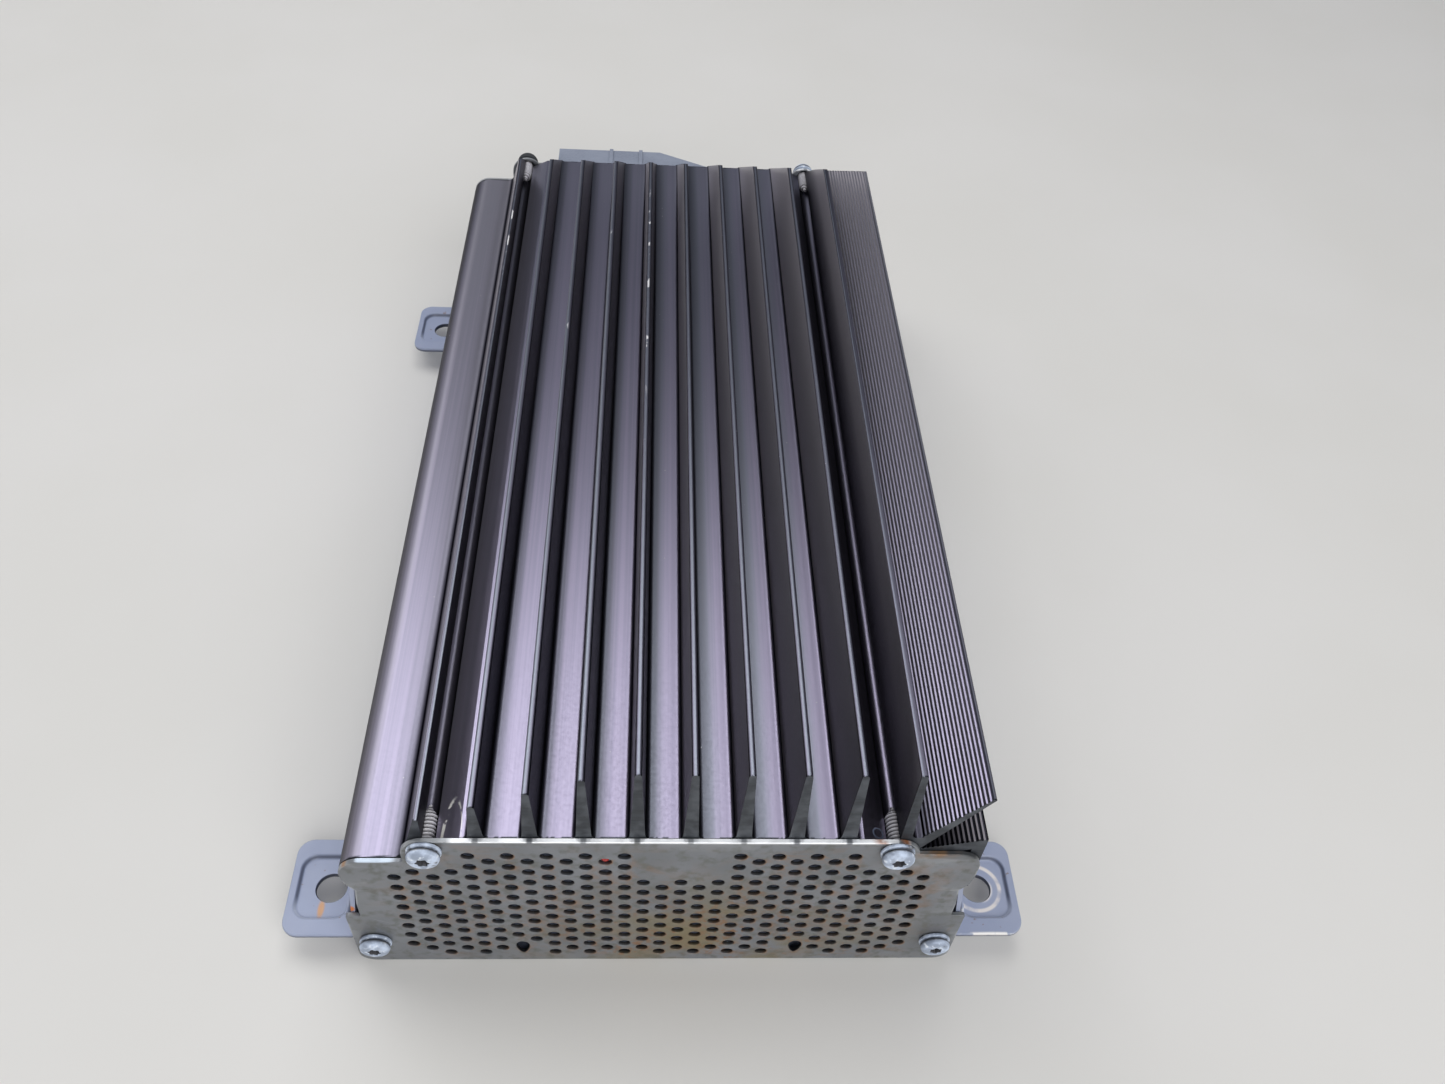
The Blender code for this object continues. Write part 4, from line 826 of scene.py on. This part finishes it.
def make_plate(name, side, outline, centres, radii, drop, openings, node_name):
    """A plate with rolled edges. Each hole's rows go from a flat collar over the edge to the back.

    x = centre + reach cos(a) (1 + 0.35 drop sin(a)), z = centre + reach sin(a) (1 + drop)
    """
    thick, collar, roll, margin, sides = PLATE_SHEET, 0.45, 0.13, 0.5, 16
    a = np.linspace(0, 2 * math.pi, sides, endpoint=False)
    step = np.array([collar, roll, 0.0, 0.0, collar])[:, None]
    depth = np.array([0.0, 0.0, roll, thick, thick])[:, None]
    mark = np.array([0.5, 1.0, 1.0, 1.0, 0.0])[:, None]
    inside = np.array([0.0, 0.0, 0.4, 1.0, 1.0])[:, None]
    radii, drop = radii[:, None, None], drop[:, None, None]
    reach = radii + step
    x = centres[:, 0, None, None] + reach * np.cos(a) * (1 + 0.35 * drop * np.sin(a))
    z = centres[:, 1, None, None] + reach * np.sin(a) * (1 + drop)
    first = np.arange(len(centres)) * len(step) * sides
    faces = (grid_faces(len(step), sides) + first[:, None, None]).reshape(-1, 4)
    right = 0.3 + 0.7 * np.clip(np.cos(a), 0, 1)
    # Painted shade in the bores: the punched holes darken towards the back of the plate, and the
    # wider holes are dark from the rolled edge through to the back.
    deep = np.where(radii > HOLE_RADIUS, np.sign(depth), inside)
    blocks = [(x, depth, z, faces, {"rim": mark * right, "bore": deep})]
    for loop, inwards in [(outline, 1)] + [(o, -1) for o in openings]:
        rows = [inset(loop, inwards * e) if e else loop for e in (margin, roll, 0, 0, margin)]
        x_edge, z_edge = np.moveaxis(rows, -1, 0)
        blocks.append((x_edge, depth, z_edge, grid_faces(*x_edge.shape), {"wear": mark}))
    collars = [np.c_[cx, cz] for cx, cz in zip(x[:, 0], z[:, 0])]
    loops = [inset(outline, margin)] + [inset(o, -margin) for o in openings] + collars
    flat, triangles = filled(loops)
    blocks += [(flat[:, 0], y, flat[:, 1], triangles, {}) for y in (0.0, thick)]
    solid = [
        (np.stack(np.broadcast_arrays(x, side * (PLATE_OUT - y), z), -1), faces, marks)
        for x, y, z, faces, marks in blocks
    ]
    piece(name, solid, [ZINC_SHEET], "zinc_steel", node_name)


screw_centres = np.array(list(SCREWS.values()))
holes = pattern()
counts = len(holes), len(DROP_HOLES), len(screw_centres)
centres = np.concatenate([holes, DROP_HOLES, screw_centres])
radii = np.repeat([HOLE_RADIUS, DROP_RADIUS, SCREW_HOLE], counts)
drop = np.repeat([0.0, 1.0, 0.0], counts)
print("holes in the pattern", len(holes))
outline = plate_outline(FRONT_LOBE_END)
make_plate("front_plate_punched", -1, outline, centres, radii, drop, [], "front_end_plate")

WINDOW_FOOT, WINDOW_TOP = 31.0, 53.7
left, right = (corner[0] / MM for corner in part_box("connector_housing"))
left, right = left - 0.9, right + 0.9
window = [[left, WINDOW_FOOT], [right, WINDOW_FOOT], [right, WINDOW_TOP], [left, WINDOW_TOP]]
window = inset(rounded(window, 1.2, 5), 0.6)
outline = plate_outline(REAR_LOBE_END)
radii, drop = np.full(4, SCREW_HOLE), np.zeros(4)
make_plate("rear_plate_blank", 1, outline, screw_centres, radii, drop, [window], "rear_end_plate")

# %% [markdown]
# ## Screws and washers
#
# A screw is one closed surface of revolution whose radius also depends on the angle: six lobes
# sink into the head for the driver, and below it a ridge winds down the shank. The top screws'
# threads can be seen in their open channels.

# %% Turn the screws and washers
WASHER_IN, WASHER_OUT, WASHER_SHEET = 2.2, 3.9, 0.8
WASHER_Y = PLATE_OUT + GAP
SEAT_Y = WASHER_Y + WASHER_SHEET + GAP
HEAD_RADIUS, HEAD_HEIGHT, SHANK, SCREW_LENGTH = 3.7, 2.0, 1.95, 12.2
THREAD_PITCH, THREAD_DEPTH = 0.92, 0.50
RECESS_ROWS, CROWN_ROWS, UNDER_ROWS = 3, 12, 3


def screw_surface():
    """(radius, angle, height) rows of a screw, head up. The thread's radius is the shank less
    depth times a triangle wave of height / pitch - angle / 2 pi."""
    angle = np.linspace(0, 2 * math.pi, 40, endpoint=False)
    lobes = 1.42 + 0.20 * np.cos(6 * angle)
    t = np.linspace(0, 1, CROWN_ROWS)[:, None]
    radius = lobes + 0.08 + (HEAD_RADIUS - lobes - 0.08) * t
    bulge = (1 - np.clip((radius - 1.6) / (HEAD_RADIUS - 1.6), 0, 1) ** 2.2) ** (1 / 2.2)
    crown = 0.8 + (HEAD_HEIGHT - 0.8) * bulge
    down = np.arange(0.4, SCREW_LENGTH, THREAD_PITCH / 8)[:, None]
    wave = np.abs(((down / THREAD_PITCH + angle / (2 * math.pi)) % 1) - 0.5) * 2
    taper = np.clip((SCREW_LENGTH - down) / 2.5, 0.25, 1)
    thread = (SHANK - THREAD_DEPTH * (1 - wave)) * taper
    flat = np.ones_like(angle)
    rows = [
        (0 * flat, flat * (HEAD_HEIGHT - 1.4)),
        (0.85 * lobes, flat * (HEAD_HEIGHT - 1.2)),
        (0.97 * lobes, flat * (HEAD_HEIGHT - 0.15)),
        *zip(radius, crown),
        (HEAD_RADIUS * flat, 0.3 * flat),
        ((HEAD_RADIUS - 0.25) * flat, 0 * flat),
        (SHANK * flat, 0 * flat),
        *zip(thread, -np.broadcast_to(down, thread.shape)),
        (0 * flat, -SCREW_LENGTH * flat),
    ]
    row = np.arange(len(rows))
    under = RECESS_ROWS + CROWN_ROWS
    head = under + UNDER_ROWS
    # Painted shade: the driver's socket and the foot of the head, where it meets the washer.
    dark = (row < RECESS_ROWS) | (row == under) | (row == under + 1)
    marks = {
        "recess": np.where(dark, 1.0, 0.0)[:, None],
        "thread": np.where(row < head, 0.0, 1.0)[:, None],
        "groove": np.r_[np.zeros((head, len(angle))), 1 - wave, np.ones((1, len(angle)))],
    }
    return np.array([r for r, _ in rows]), angle, np.array([h for _, h in rows]), marks


def make_screws():
    """Eight screws and washers, two surfaces put in eight places."""
    radius, angle, height, marks = screw_surface()
    foot = [[WASHER_IN, 0], [WASHER_OUT, 0]]
    loop = rounded(foot + [[WASHER_OUT, WASHER_SHEET], [WASHER_IN, WASHER_SHEET]], 0.25, 3)
    ring = np.linspace(0, 2 * math.pi, 48, endpoint=False)
    for end, side in (("front", -1), ("rear", 1)):
        for at, (x, z) in SCREWS.items():
            spin = 0.7 * x + 1.3 * z
            body = np.stack([
                x + radius * np.cos(angle + spin),
                side * (SEAT_Y + height),
                z + radius * np.sin(angle + spin),
            ], -1)
            piece(
                f"screw_{end}_{at}", [(body, grid_faces(*radius.shape), marks)],
                [SCREW_ZINC], "screw_zinc", f"end_screw_{end}_{at}", sharp=50,
            )
            r, h = loop[:, 0, None], loop[:, 1, None]
            disc = np.stack(np.broadcast_arrays(
                x + r * np.cos(ring), side * (WASHER_Y + h), z + r * np.sin(ring)
            ), -1)
            piece(
                f"washer_{end}_{at}", [(disc, grid_faces(len(loop), 48, wrap_rows=True), {})],
                [SCREW_ZINC], "screw_zinc", f"end_washer_{end}_{at}",
            )


make_screws()

# %% [markdown]
# ## Mounting ears
#
# An ear is cut flat with a round hole, pressed so that the metal round the hole is sunk, and
# folded up against the tray. The surface follows the same order: a flat ring between the hole
# and the outline, a smooth sunk pocket, and a bend that wraps the inner end up into a leg.

# %% Press the ears
EAR_SHEET, EAR_REACH, EAR_HALF = 1.6, 20.0, 13.2
EAR_TOP, EAR_LEG_TOP, EAR_BEND, EAR_CORNER = 9.0, 22.0, 2.6, 4.2
POCKET_DEPTH, POCKET_RUN, POCKET_CORNER = 1.2, 1.1, 3.6
POCKET_IN, POCKET_OUT, POCKET_HALF = 4.2, EAR_REACH - 2.2, EAR_HALF - 4.8
EAR_HOLE_REACH, EAR_HOLE_RADIUS = 9.7, 3.8
EAR_EDGE = 0.25


def pierced_sheet(outline, centre, radius, count, edge):
    """A sheet between a hole and an outline: hole + v (outline - hole), row by row. The rows go
    over the top (h = 1), round the edge, back underneath (h = -1) and through the hole, and bulge
    is how far they stand beyond the outline (+) or into the hole (-)."""
    out = np.linspace(0, 1, count)
    turn = np.linspace(0, math.pi, 7)[1:-1]
    v = np.r_[out, np.ones(5), out[::-1], np.zeros(5)]
    h = np.r_[np.ones(count), np.cos(turn), -np.ones(count), -np.cos(turn)]
    bulge = np.r_[np.zeros(count), np.sin(turn), np.zeros(count), -np.sin(turn)]
    spoke = outline - centre
    spoke /= np.linalg.norm(spoke, axis=1, keepdims=True)
    hole = centre + (radius + edge) * spoke
    rim = outline - edge * spoke
    flat = hole + v[:, None, None] * (rim - hole) + edge * bulge[:, None, None] * spoke
    return flat, np.broadcast_to(h[:, None], flat.shape[:2]), np.abs(bulge)[:, None]


def in_pocket(x, y):
    """1 on the pocket's floor, 0 on the rim: a smooth step of the distance from a rounded box."""
    half = (POCKET_OUT - POCKET_IN) / 2
    away_x = np.abs(x - (POCKET_IN + half)) - (half - POCKET_CORNER)
    away_y = np.abs(y) - (POCKET_HALF - POCKET_CORNER)
    outside = np.hypot(np.maximum(away_x, 0), np.maximum(away_y, 0))
    distance = outside + np.minimum(np.maximum(away_x, away_y), 0) - POCKET_CORNER
    t = np.clip(0.5 - distance / POCKET_RUN, 0, 1)
    return t * t * (3 - 2 * t)


def dense(outline, step):
    """The same closed outline with a point about every step."""
    closed = np.r_[outline, outline[:1]]
    far = np.r_[0, np.cumsum(np.linalg.norm(np.diff(closed, axis=0), axis=1))]
    at = np.linspace(0, far[-1], round(far[-1] / step), endpoint=False)
    return np.c_[np.interp(at, far, closed[:, 0]), np.interp(at, far, closed[:, 1])]


def ear_surface():
    """One ear on the right, about its own middle. The developed length d runs in from the outer
    edge: along the foot, round the bend by the angle (d - foot) / radius, and up the leg."""
    middle = EAR_BEND - EAR_SHEET / 2
    foot = EAR_REACH - EAR_BEND
    bend = middle * math.pi / 2
    under = EAR_TOP - EAR_SHEET
    total = foot + bend + EAR_LEG_TOP - under - EAR_BEND
    corners = [[0, -EAR_HALF], [total, -EAR_HALF], [total, EAR_HALF], [0, EAR_HALF]]
    outline = dense(rounded(corners, [EAR_CORNER, 1.5, 1.5, EAR_CORNER], 12), 0.55)
    centre = np.array([EAR_REACH - EAR_HOLE_REACH, 0.0])
    flat, h, edge = pierced_sheet(outline, centre, EAR_HOLE_RADIUS, 40, EAR_EDGE)
    d, y = flat[..., 0], flat[..., 1]
    angle = np.clip((d - foot) / middle, 0, math.pi / 2)
    up = np.maximum(d - foot - bend, 0)
    x = np.where(d < foot, EAR_REACH - d, EAR_BEND - middle * np.sin(angle))
    z = under + EAR_BEND - middle * np.cos(angle) + up
    sunk = in_pocket(x, y) * (d < foot)
    z = z - POCKET_DEPTH * sunk
    x = x + np.sin(angle) * h * EAR_SHEET / 2
    z = z + np.cos(angle) * h * EAR_SHEET / 2
    wall = np.where(d < foot, 4 * sunk * (1 - sunk), 0.0)
    # Painted shade on the hole's inner wall and the lower half of the edge.
    bore = np.hypot(d - centre[0], y) < EAR_HOLE_RADIUS + 0.2
    low = np.where(bore, 1.0, 0.75 * (edge > 0.1) * (h < 0.3))
    return np.stack([x, y, z], -1), edge, wall * (h > 0), low


def make_ears():
    """Four alike ears: the right one as it is, the left one turned half round. Painted shade
    darkens the pocket's wall away from the front, the hole's inner wall and the lower half of the
    edge, and the front wall of the pocket has a painted highlight."""
    ear, edge, wall, low = ear_surface()
    faces = grid_faces(*ear.shape[:2], wrap_rows=True)
    for end, y in (("front", EAR_FRONT_Y), ("rear", EAR_REAR_Y)):
        for name, way in (("left", -1), ("right", 1)):
            body = ear * (way, way, 1) + (way * (TRAY_X + GAP), y, 0)
            back = np.clip(way * ear[..., 1] / 4 + 1.6, 0, 1)
            # Painted shade on the pocket's wall away from the front, a painted highlight on its
            # front wall.
            dirt = np.maximum(0.8 * wall * back, low)
            marks = {"wear": edge * (way > 0), "dirt": dirt, "rubbed": wall * (1 - back)}
            piece(
                f"ear_{end}_{name}", [(body, faces, marks)],
                [PAINT], "blue_grey_paint", f"mounting_ear_{end}_{name}",
            )


make_ears()

# %% [markdown]
# ## Tray
#
# The tray is a folded sheet: a floor, two walls that lean in near the top, and a narrow flange
# on each that carries the heatsink. Its section is carried straight from end to end, and a small
# tab is folded in at each corner for the bottom screw.

# %% Fold the tray
TRAY_TOP, SHEET = LEG_Z - GAP, 1.0
TAB_FOOT, TAB_TOP, TAB_WIDTH = 2.8, 18, 10.0
FLANGE_X, LEAN, LEAN_FROM = WALL_X - 3.0, 2.0, 23.5


def make_tray():
    """The section carried along Y between two flat ends, and four pierced tabs."""
    half = [((TRAY_X, 0), 2.5), ((TRAY_X, LEAN_FROM), 4), ((TRAY_X - LEAN, TRAY_TOP), 1.1)]
    half += [((FLANGE_X, TRAY_TOP), 0.2), ((FLANGE_X, TRAY_TOP - SHEET), 0.2)]
    half += [((TRAY_X - LEAN - SHEET, TRAY_TOP - SHEET), 0.1), ((TRAY_X - SHEET, LEAN_FROM), 4)]
    half += [((TRAY_X - SHEET, SHEET), 1.5)]
    other = [((-x, z), r) for (x, z), r in reversed(half)]
    corners, radii = zip(*(half + other))
    profile = rounded(corners, radii, 8)
    y = np.array([-END_Y, -END_Y + 0.6, END_Y - 0.6, END_Y])[:, None]
    body = np.stack(np.broadcast_arrays(profile[:, 0], y, profile[:, 1]), -1)
    blocks = [(body, grid_faces(*body.shape[:2]), {})]
    blocks += [(body[row], cap(profile), {}) for row in (0, -1)]
    for x, z in (SCREWS["bottom_left"], SCREWS["bottom_right"]):
        way = math.copysign(1, x)
        low, high = sorted((way * (TRAY_X - SHEET / 2), way * (TRAY_X - TAB_WIDTH)))
        tab = [[low, TAB_FOOT], [high, TAB_FOOT], [high, TAB_TOP], [low, TAB_TOP]]
        box = dense(rounded(tab, 0.3, 2), 0.8)
        flat, h, _ = pierced_sheet(box, np.array([x, z]), SCREW_HOLE, 4, 0.15)
        for end in (-1, 1):
            middle = end * (END_Y - SHEET / 2)
            tab = np.stack([flat[..., 0], middle + h * SHEET / 2, flat[..., 1]], -1)
            blocks.append((tab, grid_faces(*h.shape, wrap_rows=True), {}))
    piece("tray_folded", blocks, [PAINT], "blue_grey_paint", "chassis_tray")


make_tray()

# %% [markdown]
# ## Connector and the parts inside
#
# The connector behind the rear plate is moulded plastic with a fine grain. The board and the
# power parts are closed in, but light falls through the punched holes, so they get their own
# finishes as well: solder mask over copper tracks, enamelled wire, moulded resin, bare metal.
# Their shapes are already right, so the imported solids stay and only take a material.

# %% Moulded, wound and bare finishes
GRAINED, tree, shader, place = begin("moulded_plastic_grained")
grain = patches(place, 0.5, 0.30, 0.70, detail=2)
haze = patches(place, 8, 0.35, 0.70)
colour = layered("#7f8696", (grain, "#878e9e"), (haze, "#9198a8"))
dress(shader, colour, grain, 0.25, 0.06, Roughness=0.48)

BY_SLOT = {
    "moulded_grey": GRAINED,
    "screw_zinc": SCREW_ZINC,
    "zinc_steel": ZINC_SHEET,
    "black_anodised": ANODISED,
    "blue_grey_paint": PAINT,
}
ALIKE = (1, 1, 1)
for slot, name, base, second, size_mm, stretch, metallic, roughness in (
    ("circuit_board", "solder_mask_on_copper", "#1f4a30", "#2c6040", 2.2, (1, 6, 1), 0.0, 0.35),
    ("bare_aluminium", "bare_aluminium_milled", "#b9babc", "#a3a4a8", 0.6, (12, 1, 1), 1.0, 0.36),
    ("moulded_black", "resin_black_moulded", "#242427", "#2d2d31", 0.7, ALIKE, 0.0, 0.45),
    ("thermal_pad", "silicone_pad_soft", "#a7a8ac", "#989a9e", 1.2, ALIKE, 0.0, 0.85),
    ("ferrite", "ferrite_sintered", "#3b3b3e", "#47474b", 0.9, ALIKE, 0.0, 0.65),
    ("copper_winding", "copper_wire_enamelled", "#9a5a30", "#74401f", 0.8, (9, 9, 1), 0.8, 0.32),
    ("tinned_brass", "brass_tinned", "#c9c3b4", "#b3ab98", 0.8, (1, 5, 1), 1.0, 0.30),
    ("red_lens", "resin_red_clear", "#97201f", "#b03330", 1.0, ALIKE, 0.0, 0.20),
):
    BY_SLOT[slot], tree, shader, place = begin(name)
    mottle = patches(place, size_mm, 0.40, 0.62, stretch=stretch)
    colour = layered(base, (mottle, second))
    dress(shader, colour, mottle, 0.15, 0.08, Metallic=metallic, Roughness=roughness)
print("finishes", len(BY_SLOT))

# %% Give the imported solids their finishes
for part in frame["record"]["subparts"]:
    solid = frame["nodes"][part["node"]]
    solid.data.materials.clear()
    solid.data.materials.append(BY_SLOT[part["material_slot"]])

housing = frame["nodes"]["connector_housing"]
weld = housing.modifiers.new("weld", "WELD")
weld.merge_threshold = 0.005 * MM
flatten = housing.modifiers.new("flatten", "DECIMATE")
flatten.decimate_type = "DISSOLVE"
flatten.angle_limit = math.radians(1)
soften = housing.modifiers.new("soften", "BEVEL")
soften.width = 0.35 * MM
soften.segments = 2
soften.limit_method = "ANGLE"
soften.angle_limit = math.radians(40)
